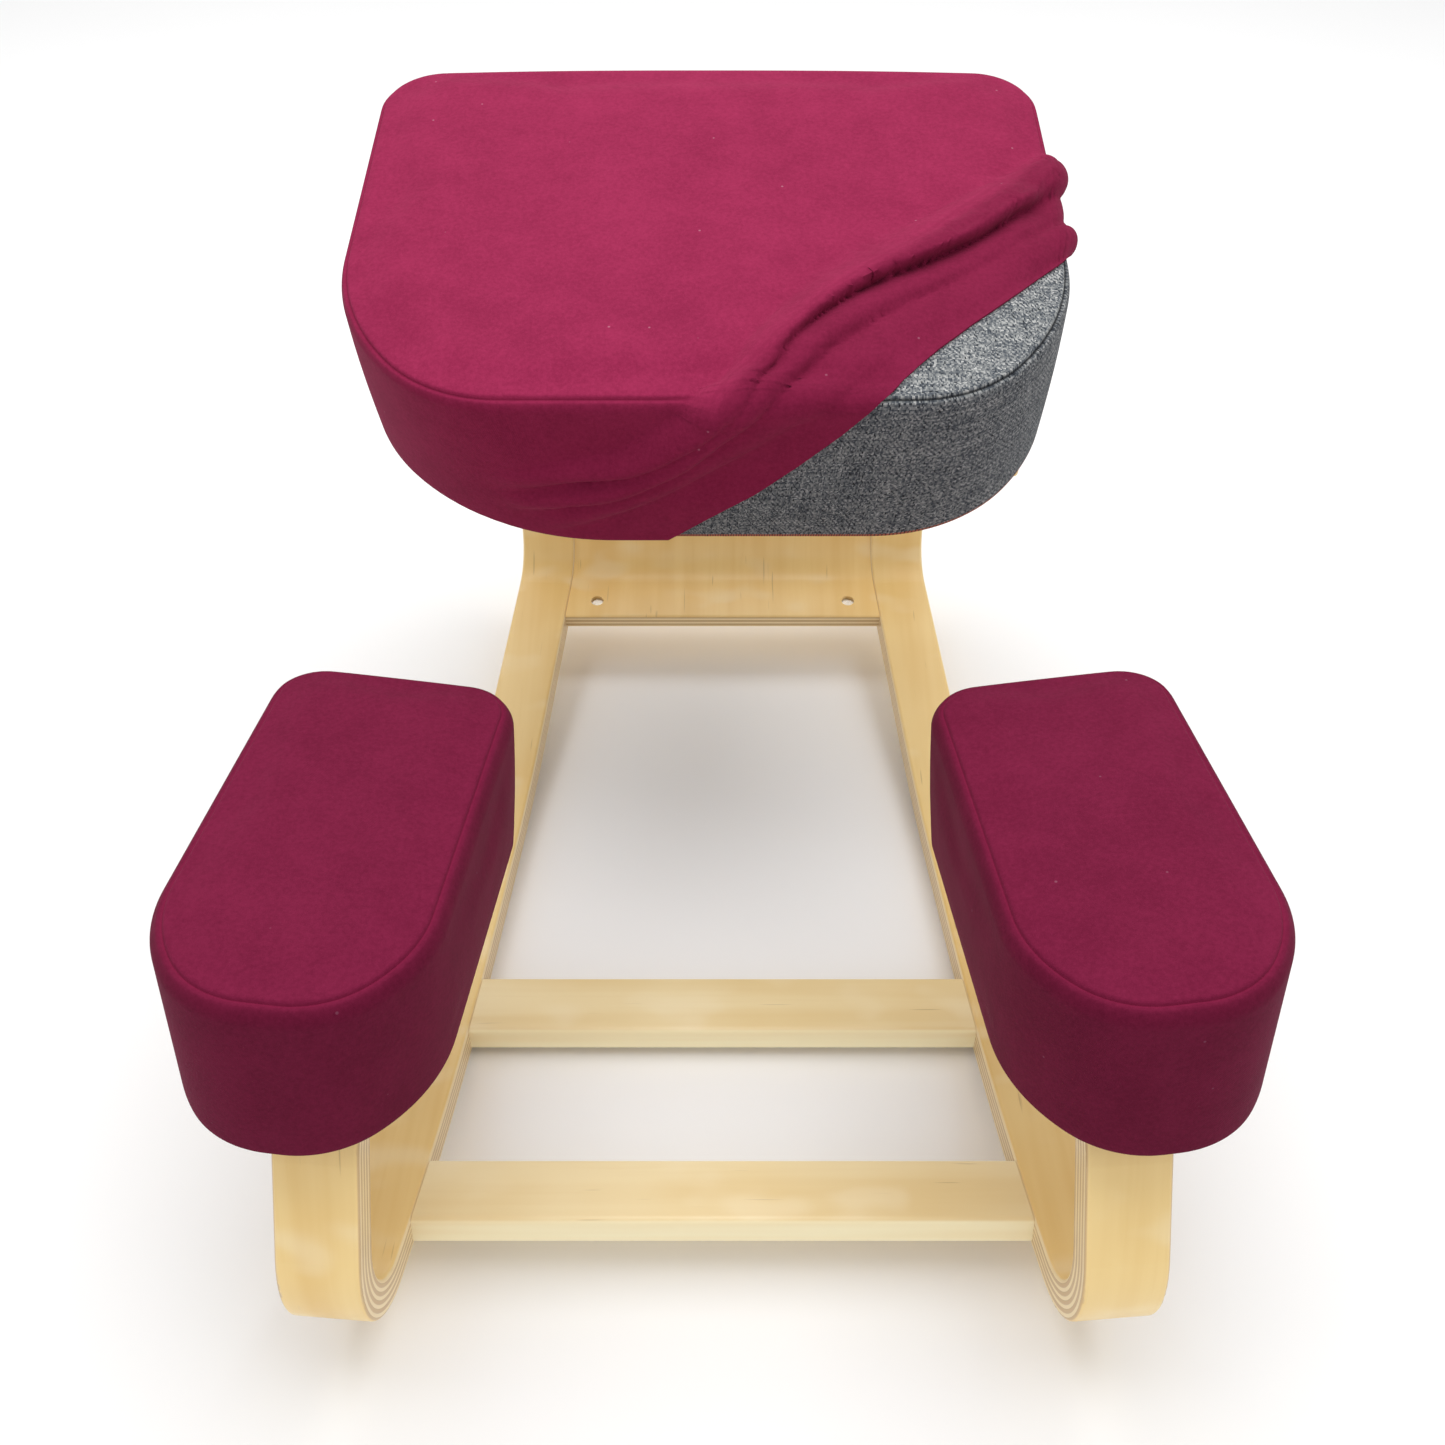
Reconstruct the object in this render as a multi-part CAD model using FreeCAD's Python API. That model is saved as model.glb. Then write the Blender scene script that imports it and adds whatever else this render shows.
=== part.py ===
# Rocking kneeling chair: two bent side rails, three cross members, a seat and two knee pads.
# Millimetres. +Z is up, -Y is the front (knee) end, X runs across.
import FreeCAD, Part
import math
import os

from FreeCAD import Placement, Rotation, Vector

# Side rails: one laminated strip each, bent to an open C and standing on edge
strip_width = 44.0
strip_thick = 21.0
strip_arris = 2.5
rail_half_gap = 180.5       # inner face to the middle of the chair, at the front of the loop
rail_splay = 4.7            # degrees; the rails close in towards the rear

# Centre line of a rail, from the end under the knee pad to the end under the seat
knee_tilt = 6.2             # knee pads fall towards the rear
knee_rest_len = 140.0
knee_bend_radius = 48.0
branch_angle = 61.2         # rise of the front branch from the floor
branch_len = 55.0
loop_radius = 47.0
front_rocker_radius = 1160.0
front_rock_angle = 13.2
rest_flat_len = 60.0        # level length the chair settles on
rear_rocker_radius = 850.0
rear_rock_angle = 9.5
rise_len = 145.0
rear_bend_radius = 41.0
rear_angle = 80.0
rear_len = 169.0
seat_bend_radius = 80.0
seat_tilt = 10.8            # seat falls towards the front
seat_rest_len = 184.0

# Cross members
bar_width = 45.5
bar_thick = 19.0
bar_arris = 3.5
front_bar_y = 93.2
middle_bar_y = 240.0
panel_thick = 13.0
panel_foot = 39.0           # straight length below the bend
panel_top = 60.0            # straight length above the bend
panel_arris = 2.0

# Joint fittings
fit_gap = 0.2               # radial clearance of pins and bolts in wood
thread_gap = 0.1            # radial clearance that stands for the thread
bolt_dia = 6.0
bolt_head_dia = 15.0
bolt_head_thick = 2.5
bolt_socket = 4.0
bolt_counterbore = 8.0
nut_dia = 10.0
nut_len = 13.0
nut_from_end = 24.0
panel_nut_len = 9.5
panel_nut_up = 18.0         # from the foot edge of the panel
panel_bolt_head = 11.0
panel_bolt_shift = 1.0      # from mid panel towards the middle of the rail strip
bar_bolt_offset = 10.0
dowel_dia = 8.0
dowel_len = 32.0
washer_dia = 15.0
washer_thick = 1.4
rail_grip = 18.0            # wood between a cushion and its washers, after spot facing
spot_dia = 17.0
spot_reach = 9.0
pan_dia = 11.0
pan_thick = 4.0
tnut_flange_dia = 19.0
tnut_flange_thick = 1.3
tnut_barrel_dia = 8.0
tnut_barrel_len = 9.0

# Cushions: board, foam, fixed upholstery, slipcover, all on one outline
board_thick = 12.0
board_inset = 1.5
cloth_gap = 0.3
corner_share = 50.0         # degrees of a front corner on its tighter arc
upholstery_thick = 1.5
slipcover_thick = 1.4
dust_thick = 0.8
turn_under = 24.0
cover_turn_under = 18.0
seat_offset = -9.0          # the seat sits a little to one side of the rails
seat_width = 431.0
seat_depth = 329.0
seat_height = 106.0
seat_rear_radius = 46.0
seat_front_across = 102.0
seat_front_along = 132.0
seat_board_across = 158.0    # the board has rounder front corners than the foam
seat_board_along = 150.0
seat_round = 7.0
seat_front_overhang = 76.0  # outline front to the end of the rail
seat_bolt_in = 34.0
seat_bolt_pitch = 116.0
knee_width = 135.5
knee_length = 259.0
knee_height = 95.0
knee_rear_radius = 34.5
knee_front_across = 60.0
knee_front_along = 72.0
knee_round = 6.0
knee_front_y = 18.9         # front of the pad behind the front of the loop
knee_center_x = 209.0
knee_turn = 4.6             # degrees in plan
knee_lean = 4.2             # pads lean towards the middle
knee_bolt_in = 30.0
knee_bolt_pitch = 76.0

# Clearances and spare lengths of holes, bores and blanks
head_gap = 0.5              # radial, round a bolt head in its counterbore
hole_spare = 1.0            # a hole runs this far past what it goes through
nut_gap = 0.3               # at the end of a cross dowel
tip_past_nut = 4.0          # bolt tip beyond its cross dowel
blank_spare = 40.0          # crossbar blank longer than the gap between the rails
plane_height = 60.0         # wood taken off above the underside of a cushion
wedge_front = -60.0         # space between the rails, cut large
wedge_rear = 900.0
wedge_low = -50.0
wedge_tall = 500.0
hem_tool_size = 1200.0

# Slipcover pulled up off one front corner of the seat
hem_front_x = 97.0          # hem crosses the front edge of the top here
hem_side_y = 126.0          # and the side edge of the top here
hem_dip_angle = 50.0        # slope of the pulled hem plane from the seat plane
fold_foot = 6.0             # the folds end this far above the board
# each fold: distance from the hem, width, height
fold_steps = [(22.0, 9.0, 3.0), (35.0, 10.0, 4.5), (49.0, 15.0, 9.0)]

tiny = 0.01


def left_of(heading):
    a = math.radians(heading)
    return Vector(0, -math.sin(a), math.cos(a))


def along(heading):
    a = math.radians(heading)
    return Vector(0, math.cos(a), math.sin(a))


def straight(length):
    return ("straight", length, 0.0)


def bend(radius, angle):
    return ("bend", radius, angle)


def walk(start, heading, moves):
    """Stops of a centre line that only turns to its left: (point, heading) after each move."""
    stops = [(start, heading)]
    for kind, size, angle in moves:
        point, heading = stops[-1]
        if kind == "straight":
            point = point + along(heading) * size
        else:
            centre = point + left_of(heading) * size
            heading = heading + angle
            point = centre - left_of(heading) * size
        stops.append((point, heading))
    return stops


def side_edges(stops, moves, offset):
    """Edges parallel to the centre line, offset to its left."""
    edges = []
    for (a, ha), (b, hb), (kind, size, angle) in zip(stops, stops[1:], moves):
        p = a + left_of(ha) * offset
        q = b + left_of(hb) * offset
        if kind == "straight":
            edges.append(Part.makeLine(p, q))
        else:
            centre = a + left_of(ha) * size
            mid = centre - left_of((ha + hb) / 2) * (size - offset)
            edges.append(Part.Arc(p, mid, q).toShape())
    return edges


def strip(stops, moves, low, high, width):
    """Bent strip between two offsets of the centre line, from x = 0 to x = width."""
    inner = side_edges(stops, moves, high)
    outer = side_edges(stops, moves, low)
    ends = [Part.makeLine(p + left_of(h) * low, p + left_of(h) * high)
            for p, h in (stops[0], stops[-1])]
    wire = Part.Wire(Part.__sortEdges__(inner + outer + ends))
    return Part.Face(wire).extrude(Vector(width, 0, 0))


def round_sides(solid, radius, width):
    """Round the edges of the two flat sides."""
    picked = []
    for edge in solid.Edges:
        box = edge.BoundBox
        if box.XLength < tiny and (box.XMin < tiny or box.XMin > width - tiny):
            picked.append(edge)
    return solid.makeFillet(radius, picked)


def rail_moves():
    return [
        straight(knee_rest_len),
        bend(knee_bend_radius, branch_angle + knee_tilt),
        straight(branch_len),
        bend(loop_radius, 180 - branch_angle - front_rock_angle),
        bend(front_rocker_radius, front_rock_angle),
        straight(rest_flat_len),
        bend(rear_rocker_radius, rear_rock_angle),
        straight(rise_len),
        bend(rear_bend_radius, rear_angle - rear_rock_angle),
        straight(rear_len),
        bend(seat_bend_radius, 180 + seat_tilt - rear_angle),
        straight(seat_rest_len),
    ]


def rail_stops():
    """Stops of the rail with the loop front at y = 0 and the rest flat on z = 0."""
    moves = rail_moves()
    stops = walk(Vector(0, 0, 0), 180 - knee_tilt, moves)
    outer = side_edges(stops, moves, -strip_thick / 2)
    loop_front = outer[3].BoundBox.YMin
    floor = stops[5][0].z - strip_thick / 2
    return walk(Vector(0, -loop_front, -floor), 180 - knee_tilt, moves)


def in_rail_plane():
    """Placement of the right rail: inner face on the splayed plane."""
    return Placement(Vector(rail_half_gap, 0, 0), Rotation(Vector(0, 0, 1), rail_splay))


def half_gap(y):
    return rail_half_gap - y * math.tan(math.radians(rail_splay))


def between_rails():
    """Wedge of space between the inner faces of the rails."""
    near, far = half_gap(wedge_front), half_gap(wedge_rear)
    corners = [(-near, wedge_front), (near, wedge_front), (far, wedge_rear), (-far, wedge_rear)]
    points = [Vector(x, y, wedge_low) for x, y in corners]
    return Part.Face(Part.makePolygon(points + points[:1])).extrude(Vector(0, 0, wedge_tall))


def mirrored(shape):
    return shape.mirror(Vector(0, 0, 0), Vector(1, 0, 0))


def both_sides(shape):
    return [shape, mirrored(shape)]


def rod(radius, start, direction, length):
    return Part.makeCylinder(radius, length, start, direction)


def at_centre_line(stops, y):
    """Point and heading of the runner's centre line at a distance behind the loop front."""
    first, last = stops[4], stops[7]
    for (a, ha), (b, hb) in zip(stops[4:7], stops[5:8]):
        if a.y <= y <= b.y:
            first, last = (a, ha), (b, hb)
    share = (y - first[0].y) / (last[0].y - first[0].y)
    heading = first[1] + (last[1] - first[1]) * share
    if abs(last[1] - first[1]) < tiny:
        return first[0] + (last[0] - first[0]) * share, heading
    chord = last[0] - first[0]
    radius = chord.Length / 2 / math.sin(math.radians((last[1] - first[1]) / 2))
    centre = first[0] + left_of(first[1]) * radius
    return centre - left_of(heading) * radius, heading


def bar_place(stops, y):
    """Frame of a crossbar: top flush with the top of the runner."""
    point, heading = at_centre_line(stops, y)
    middle = point + left_of(heading) * ((strip_thick - bar_thick) / 2)
    return Placement(middle, Rotation(Vector(1, 0, 0), heading - 360))


def crossbar(place, wedge):
    length = 2 * rail_half_gap + blank_spare
    corner = Vector(-length / 2, -bar_width / 2, -bar_thick / 2)
    bar = Part.makeBox(length, bar_width, bar_thick, corner)
    long_edges = [e for e in bar.Edges if e.BoundBox.XLength > length - 1]
    bar = bar.makeFillet(bar_arris, long_edges)
    bar.Placement = place
    return bar.common(wedge)


def end_fixing(place, local_y, local_z, nut_size, head_size):
    """Bolt, cross dowel and their holes at the right-hand end of a cross member."""
    here = place.multVec(Vector(0, local_y, local_z))
    inner = half_gap(here.y)
    nut_x = inner - nut_from_end
    seat_x = inner + strip_width - bolt_counterbore
    axis = Vector(1, 0, 0)
    tip = Vector(nut_x - nut_dia / 2 - tip_past_nut, here.y, here.z)
    shank_len = seat_x - tip.x
    shank = rod(bolt_dia / 2, tip, axis, shank_len)
    head = rod(head_size / 2, Vector(seat_x, here.y, here.z), axis, bolt_head_thick)
    socket = rod(bolt_socket / 2, Vector(seat_x + 0.5, here.y, here.z), axis, bolt_head_thick)
    bolt = shank.fuse(head).removeSplitter().cut(socket)
    hole = rod(bolt_dia / 2 + fit_gap, tip - axis * hole_spare, axis, shank_len + hole_spare + tiny)
    bore = rod(head_size / 2 + head_gap, Vector(seat_x, here.y, here.z), axis, strip_width)
    up = place.Rotation.multVec(Vector(0, 0, 1))
    nut_mid = Vector(nut_x, here.y, here.z)
    nut = rod(nut_dia / 2, nut_mid - up * (nut_size / 2), up, nut_size)
    nut = nut.cut(rod(bolt_dia / 2 + thread_gap, nut_mid - axis * nut_dia, axis, 2 * nut_dia))
    return bolt, nut, hole.fuse(bore), nut_mid, up


def end_dowel(place, local_y, local_z):
    """Wooden pin and its hole, half in the rail and half in the cross member."""
    here = place.multVec(Vector(0, local_y, local_z))
    inner = half_gap(here.y)
    start = Vector(inner - dowel_len / 2, here.y, here.z)
    axis = Vector(1, 0, 0)
    pin = rod(dowel_dia / 2, start, axis, dowel_len)
    hole = rod(dowel_dia / 2 + fit_gap, start - axis * hole_spare / 2, axis, dowel_len + hole_spare)
    return pin, hole


def fit_bar(place, wedge):
    """Crossbar with its fittings and the holes they need in the right rail."""
    bar = crossbar(place, wedge)
    fixing = end_fixing(place, -bar_bolt_offset, 0, nut_len, bolt_head_dia)
    bolt, nut, bolt_hole, nut_mid, up = fixing
    pin, pin_hole = end_dowel(place, bar_bolt_offset, 0)
    below = bar_thick / 2 + hole_spare
    nut_hole = rod(nut_dia / 2 + fit_gap, nut_mid - up * below, up, below + nut_len / 2 + nut_gap)
    for tool in (bolt_hole, pin_hole, nut_hole):
        for side in both_sides(tool):
            bar = bar.cut(side)
    return bar, both_sides(bolt), both_sides(nut), both_sides(pin), [bolt_hole, pin_hole]


def rear_panel(stops, moves, wedge):
    """Bent cross panel that follows the rear bend of the rails, flush with their inner surface."""
    bend_start, heading = stops[8]
    start = bend_start - along(heading) * panel_foot
    panel_moves = [straight(panel_foot), moves[8], straight(panel_top)]
    panel_stops = walk(start, heading, panel_moves)
    high = strip_thick / 2
    low = high - panel_thick
    width = 2 * rail_half_gap
    panel = strip(panel_stops, panel_moves, low, high, width)
    cross_edges = [e for e in panel.Edges
                   if e.BoundBox.XLength > width - 1 and is_end(e, panel_stops)]
    panel = panel.makeFillet(panel_arris, cross_edges)
    panel.translate(Vector(-width / 2, 0, 0))
    panel = panel.common(wedge)
    mid = (low + high) / 2
    foot = start + along(heading) * panel_nut_up + left_of(heading) * mid
    place = Placement(foot, Rotation(Vector(1, 0, 0), heading - 360))
    fixing = end_fixing(place, 0, -panel_bolt_shift, panel_nut_len, panel_bolt_head)
    bolt, nut, bolt_hole, nut_mid, up = fixing
    top_point, top_heading = panel_stops[-1]
    pin_at = top_point - along(top_heading) * (panel_top / 2) + left_of(top_heading) * mid
    pin_place = Placement(pin_at, Rotation(Vector(1, 0, 0), top_heading - 360))
    pin, pin_hole = end_dowel(pin_place, 0, 0)
    below = panel_nut_len / 2 + nut_gap
    nut_hole = rod(nut_dia / 2 + fit_gap, nut_mid - up * below, up, panel_thick)
    for tool in (bolt_hole, pin_hole, nut_hole):
        for side in both_sides(tool):
            panel = panel.cut(side)
    return panel, both_sides(bolt), both_sides(nut), both_sides(pin), [bolt_hole, pin_hole]


def is_end(edge, stops):
    """True for a crosswise edge at either end of a bent panel."""
    middle = edge.CenterOfMass
    for point, heading in (stops[0], stops[-1]):
        gap = Vector(0, middle.y, middle.z) - point
        if abs(gap.dot(along(heading))) < tiny and gap.Length < panel_thick + strip_thick:
            return True
    return False


def front_corner(x, across, depth, side):
    """Two tangent arcs from the straight front, at x, round to the straight side."""
    turn = math.radians(corner_share)
    sine, cosine = math.sin(turn), math.cos(turn)
    spread = sine * cosine - (1 - sine) * (1 - cosine)
    tight = (across * cosine - depth * (1 - sine)) / spread
    slack = (depth * sine - across * (1 - cosine)) / spread
    edges = []
    for radius, centre, low, high in (
            (tight, Vector(x, tight, 0), 0, turn),
            (slack, Vector(x + side * (across - slack), depth, 0), turn, math.pi / 2)):
        stops = [centre + Vector(side * math.sin(t), -math.cos(t), 0) * radius
                 for t in (low, (low + high) / 2, high)]
        edges.append(Part.Arc(*stops).toShape())
    return edges


def pad_outline(width, length, rear_radius, across, depth):
    """Closed outline, front at y = 0: long front corners, round rear ones."""
    half = width / 2
    edges = [
        Part.makeLine(Vector(across - half, 0, 0), Vector(half - across, 0, 0)),
        Part.makeLine(Vector(half - rear_radius, length, 0), Vector(rear_radius - half, length, 0)),
    ]
    for side in (-1, 1):
        x = side * half
        lean = side * rear_radius * (1 - math.sqrt(0.5))
        low = Vector(x, length - rear_radius, 0)
        mid = Vector(x - lean, length - abs(lean), 0)
        high = Vector(x - side * rear_radius, length, 0)
        edges.extend(front_corner(x - side * across, across, depth, side))
        edges.append(Part.makeLine(Vector(x, depth, 0), low))
        edges.append(Part.Arc(low, mid, high).toShape())
    return Part.Wire(Part.__sortEdges__(edges))


def slab(outline, inset, low, high, top_round=0.0):
    """Solid on the outline moved inwards, rounded along its top edge."""
    wire = outline.makeOffset2D(-inset) if inset else outline
    wire = wire.copy()
    wire.translate(Vector(0, 0, low))
    solid = Part.Face(wire).extrude(Vector(0, 0, high - low))
    if top_round:
        rim = [e for e in solid.Edges if e.BoundBox.ZMin > high - tiny]
        solid = solid.makeFillet(top_round, rim)
    return solid


def cushion(outline, board_outline, height, top_round):
    """Layers of one cushion on z = 0, the face that rests on the rails."""
    cover_in = slipcover_thick
    fixed_out = cover_in + cloth_gap
    fixed_in = fixed_out + upholstery_thick
    core = fixed_in + cloth_gap
    board_low = dust_thick
    board_high = board_low + board_thick
    foam_high = height - core
    board = slab(board_outline, core + board_inset, board_low, board_high)
    foam = slab(outline, core, board_high, foam_high, top_round)

    flange_low = board_low - upholstery_thick
    fixed_round = top_round + core - fixed_out
    fixed = slab(outline, fixed_out, flange_low, height - fixed_out, fixed_round)
    inside_round = top_round + core - fixed_in
    fixed = fixed.cut(slab(outline, fixed_in, board_low, height - fixed_in, inside_round))
    fixed = fixed.cut(slab(outline, fixed_out + turn_under, flange_low - 1, board_low + 1))
    dust = slab(board_outline, fixed_out + turn_under + cloth_gap, 0, dust_thick)

    cover_low = flange_low - cloth_gap - slipcover_thick
    skin = slab(outline, 0, cover_low, height, top_round + core)
    hollow_low, hollow_round = flange_low - cloth_gap, top_round + core - cover_in
    hollow = slab(outline, cover_in, hollow_low, height - cover_in, hollow_round)
    mouth = slab(outline, cover_turn_under, cover_low - 1, flange_low + 1)
    cover = skin.cut(hollow).cut(mouth)
    return {"board": board, "foam": foam, "upholstery": fixed, "dust_cover": dust,
            "slipcover": cover}


def board_fixing(x, y):
    """Bolt, washer and T-nut on the vertical through (x, y), the cushion standing on z = 0."""
    up = Vector(0, 0, 1)
    under = -rail_grip - washer_thick
    top = dust_thick + board_thick
    washer = rod(washer_dia / 2, Vector(x, y, under), up, washer_thick)
    washer = washer.cut(rod(bolt_dia / 2 + fit_gap, Vector(x, y, under - 1), up, washer_thick + 2))
    shank = rod(bolt_dia / 2, Vector(x, y, under), up, top - under - 1.5)
    head = rod(pan_dia / 2, Vector(x, y, under - pan_thick), up, pan_thick)
    socket = rod(bolt_socket / 2, Vector(x, y, under - pan_thick - 1), up, pan_thick - 0.5)
    bolt = shank.fuse(head).removeSplitter().cut(socket)
    flange = rod(tnut_flange_dia / 2, Vector(x, y, top - tnut_flange_thick), up, tnut_flange_thick)
    barrel = rod(tnut_barrel_dia / 2, Vector(x, y, top - tnut_barrel_len), up, tnut_barrel_len)
    thread = rod(bolt_dia / 2 + thread_gap, Vector(x, y, 0), up, top + 1)
    tnut = flange.fuse(barrel).removeSplitter().cut(thread)
    rail_hole = rod(bolt_dia / 2 + fit_gap, Vector(x, y, -strip_thick - 2), up, strip_thick + 2 + tiny)
    spot_face = rod(spot_dia / 2, Vector(x, y, -rail_grip - spot_reach), up, spot_reach)
    dust_hole = rod(bolt_dia / 2 + fit_gap, Vector(x, y, -1), up, 4)
    board_hole = rod(tnut_barrel_dia / 2 + fit_gap, Vector(x, y, 0), up, top + 1)
    recess = rod(tnut_flange_dia / 2 + fit_gap, Vector(x, y, top - tnut_flange_thick), up, 3)
    return bolt, washer, tnut, rail_hole.fuse(spot_face), dust_hole, board_hole.fuse(recess)


def fit_board(layers, spots):
    """Fixings at the given spots; drills the board and the dust cover."""
    bolts, washers, tnuts, rail_holes = [], [], [], []
    for x, y in spots:
        bolt, washer, tnut, rail_hole, dust_hole, board_hole = board_fixing(x, y)
        bolts.append(bolt)
        washers.append(washer)
        tnuts.append(tnut)
        rail_holes.append(rail_hole)
        layers["dust_cover"] = layers["dust_cover"].cut(dust_hole)
        layers["board"] = layers["board"].cut(board_hole)
    return bolts, washers, tnuts, rail_holes


def hem_side(outline_height):
    """A point, the hem line and the normal of the hem plane, in the seat's own frame."""
    front = Vector(hem_front_x, 0, outline_height)
    side = Vector(seat_width / 2, hem_side_y, outline_height)
    line = side - front
    line.normalize()
    rearward = Vector(-line.y, line.x, 0)
    dip = math.radians(hem_dip_angle)
    normal = rearward * math.sin(dip) + Vector(0, 0, 1) * math.cos(dip)
    return front, line, normal


def beyond(point, line, normal, low, high):
    """Block between two planes parallel to the hem, at distances low and high from it."""
    third = normal.cross(line)
    right, up = line * hem_tool_size, third * hem_tool_size
    corner = point + normal * low - right / 2 - up / 2
    points = [corner, corner + right, corner + right + up, corner + up]
    return Part.Face(Part.makePolygon(points + points[:1])).extrude(normal * (high - low))


def pulled_cover(cover, outline, height, top_round):
    """Slipcover cut along the hem plane, with the gathered folds standing beside it."""
    point, line, normal = hem_side(height - slipcover_thick)
    cover = cover.cut(beyond(point, line, normal, -900, 0))
    core = slipcover_thick + upholstery_thick + 2 * cloth_gap
    low = dust_thick + fold_foot
    half_thick = slipcover_thick / 2
    for start, width, swell in fold_steps:
        bulge = slab(outline, -swell, low, height + swell, top_round + core + swell)
        bulge = bulge.cut(slab(outline, half_thick, low - 1, height - half_thick, top_round))
        ridge = bulge.common(beyond(point, line, normal, start, start + width))
        cover = cover.fuse(ridge)
    return cover.removeSplitter()


def outer_top(stop):
    """Point on the outer top edge of the right rail at a stop of its centre line."""
    point, heading = stop
    top = point - left_of(heading) * (strip_thick / 2)
    return in_rail_plane().multVec(Vector(strip_width, top.y, top.z))


def seat_place(stops):
    """Frame of the seat: middle of the outline front, on the planed tops of the seat branches."""
    end = outer_top(stops[-1])
    run = in_rail_plane().Rotation.multVec(along(stops[-1][1] - 180))
    tilt = math.degrees(math.atan2(run.z, run.y))
    slope = Vector(0, math.cos(math.radians(tilt)), math.sin(math.radians(tilt)))
    front = Vector(seat_offset, end.y, end.z) - slope * seat_front_overhang
    return Placement(front, Rotation(Vector(1, 0, 0), tilt))


def knee_place(stops):
    """Frame of the right knee pad: middle of the outline front, on the planed knee branch."""
    spin = Rotation(Vector(0, 0, 1), knee_turn)
    spin = spin.multiply(Rotation(Vector(1, 0, 0), -knee_tilt))
    spin = spin.multiply(Rotation(Vector(0, 1, 0), -knee_lean))
    normal = spin.multVec(Vector(0, 0, 1))
    end = outer_top(stops[0])
    gap = end - Vector(knee_center_x, knee_front_y, 0)
    return Placement(Vector(knee_center_x, knee_front_y, gap.dot(normal) / normal.z), spin)


def above(width, depth, place):
    """Block that planes a rail flush with the underside of a cushion."""
    block = Part.makeBox(width, depth, plane_height, Vector(-width / 2, 0, 0))
    return placed(block, place)


def placed(shape, place):
    moved = shape.copy()
    moved.Placement = place
    return moved


def spots_over_rail(place, stop, pitch, first):
    """Two fixing spots of a cushion on the right rail, in the cushion's own frame."""
    back = place.inverse()
    point, heading = stop
    toward = along(heading)
    spots = []
    for reach in (first, first + pitch):
        on_line = point + toward * reach
        on_rail = in_rail_plane().multVec(Vector(strip_width / 2, on_line.y, on_line.z))
        local = back.multVec(on_rail)
        spots.append((local.x, local.y))
    return spots


def build():
    moves = rail_moves()
    stops = rail_stops()
    wedge = between_rails()
    rail = round_sides(strip(stops, moves, -strip_thick / 2, strip_thick / 2, strip_width),
                       strip_arris, strip_width)
    right = placed(rail, in_rail_plane())
    nodes = {}
    cuts = []

    groups = {"front_crossbar": fit_bar(bar_place(stops, front_bar_y), wedge),
              "middle_crossbar": fit_bar(bar_place(stops, middle_bar_y), wedge),
              "rear_cross_panel": rear_panel(stops, moves, wedge)}
    for name, (member, bolts, nuts, pins, holes) in groups.items():
        nodes[name] = [member]
        nodes[name + "_bolts"] = bolts
        nodes[name + "_cross_dowels"] = nuts
        nodes[name + "_pins"] = pins
        cuts.extend(holes)

    knee_outline = pad_outline(knee_width, knee_length, knee_rear_radius,
                               knee_front_across, knee_front_along)
    pad = cushion(knee_outline, knee_outline, knee_height, knee_round)
    at_knee = knee_place(stops)
    spots = spots_over_rail(at_knee, stops[0], knee_bolt_pitch, knee_bolt_in)
    bolts, washers, tnuts, holes = fit_board(pad, spots)
    for layer, solid in pad.items():
        here = placed(solid, at_knee)
        nodes["right_knee_" + layer] = [here]
        nodes["left_knee_" + layer] = [mirrored(here)]
    for name, group in (("bolts", bolts), ("washers", washers), ("tnuts", tnuts)):
        nodes["knee_pad_" + name] = [s for item in group for s in both_sides(placed(item, at_knee))]
    cuts.extend(placed(hole, at_knee) for hole in holes)
    cuts.append(above(knee_width, knee_length, at_knee))

    seat_outline = pad_outline(seat_width, seat_depth, seat_rear_radius,
                               seat_front_across, seat_front_along)
    board_outline = pad_outline(seat_width, seat_depth, seat_rear_radius,
                                seat_board_across, seat_board_along)
    seat = cushion(seat_outline, board_outline, seat_height, seat_round)
    at_seat = seat_place(stops)
    near = (stops[-1][0], stops[-1][1] + 180)
    right_spots = spots_over_rail(at_seat, near, seat_bolt_pitch, seat_bolt_in)
    left_spots = [(-x - 2 * seat_offset, y) for x, y in right_spots]
    bolts, washers, tnuts, holes = fit_board(seat, right_spots + left_spots)
    seat["slipcover"] = pulled_cover(seat["slipcover"], seat_outline, seat_height, seat_round)
    for layer, solid in seat.items():
        nodes["seat_" + layer] = [placed(solid, at_seat)]
    for name, group in (("bolts", bolts), ("washers", washers), ("tnuts", tnuts)):
        nodes["seat_" + name] = [placed(item, at_seat) for item in group]
    cuts.extend(placed(hole, at_seat) for hole in holes[:2])
    cuts.append(above(seat_width, seat_depth, at_seat))

    for tool in cuts:
        right = right.cut(tool)
    nodes["right_rail"] = [right]
    nodes["left_rail"] = [mirrored(right)]
    return nodes


def main():
    os.makedirs("parts", exist_ok=True)
    nodes = build()
    everything = Part.makeCompound([s for group in nodes.values() for s in group])
    box = everything.BoundBox
    shift = Vector(0, -(box.YMin + box.YMax) / 2, 0)
    for name, group in sorted(nodes.items()):
        solids = [s for shape in group for s in shape.Solids]
        shape = solids[0] if len(solids) == 1 else Part.makeCompound(solids)
        shape.translate(shift)
        shape.exportStep("parts/%s.step" % name)
        size = shape.BoundBox
        print("%-34s solids %d  valid %s  %6.1f %6.1f %6.1f  z %6.1f" % (
            name, len(solids), shape.isValid(), size.XLength, size.YLength, size.ZLength, size.ZMin))
    print("overall %.1f x %.1f x %.1f, shift %.2f" % (box.XLength, box.YLength, box.ZLength, shift.y))


main()
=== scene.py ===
# Rocking kneeling chair: soft parts and finishes over the fixed frame. Metres, +Z up, -Y the front.
import math
import bpy
import numpy as np
from mathutils import Matrix, Vector
from mathutils.kdtree import KDTree


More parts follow.
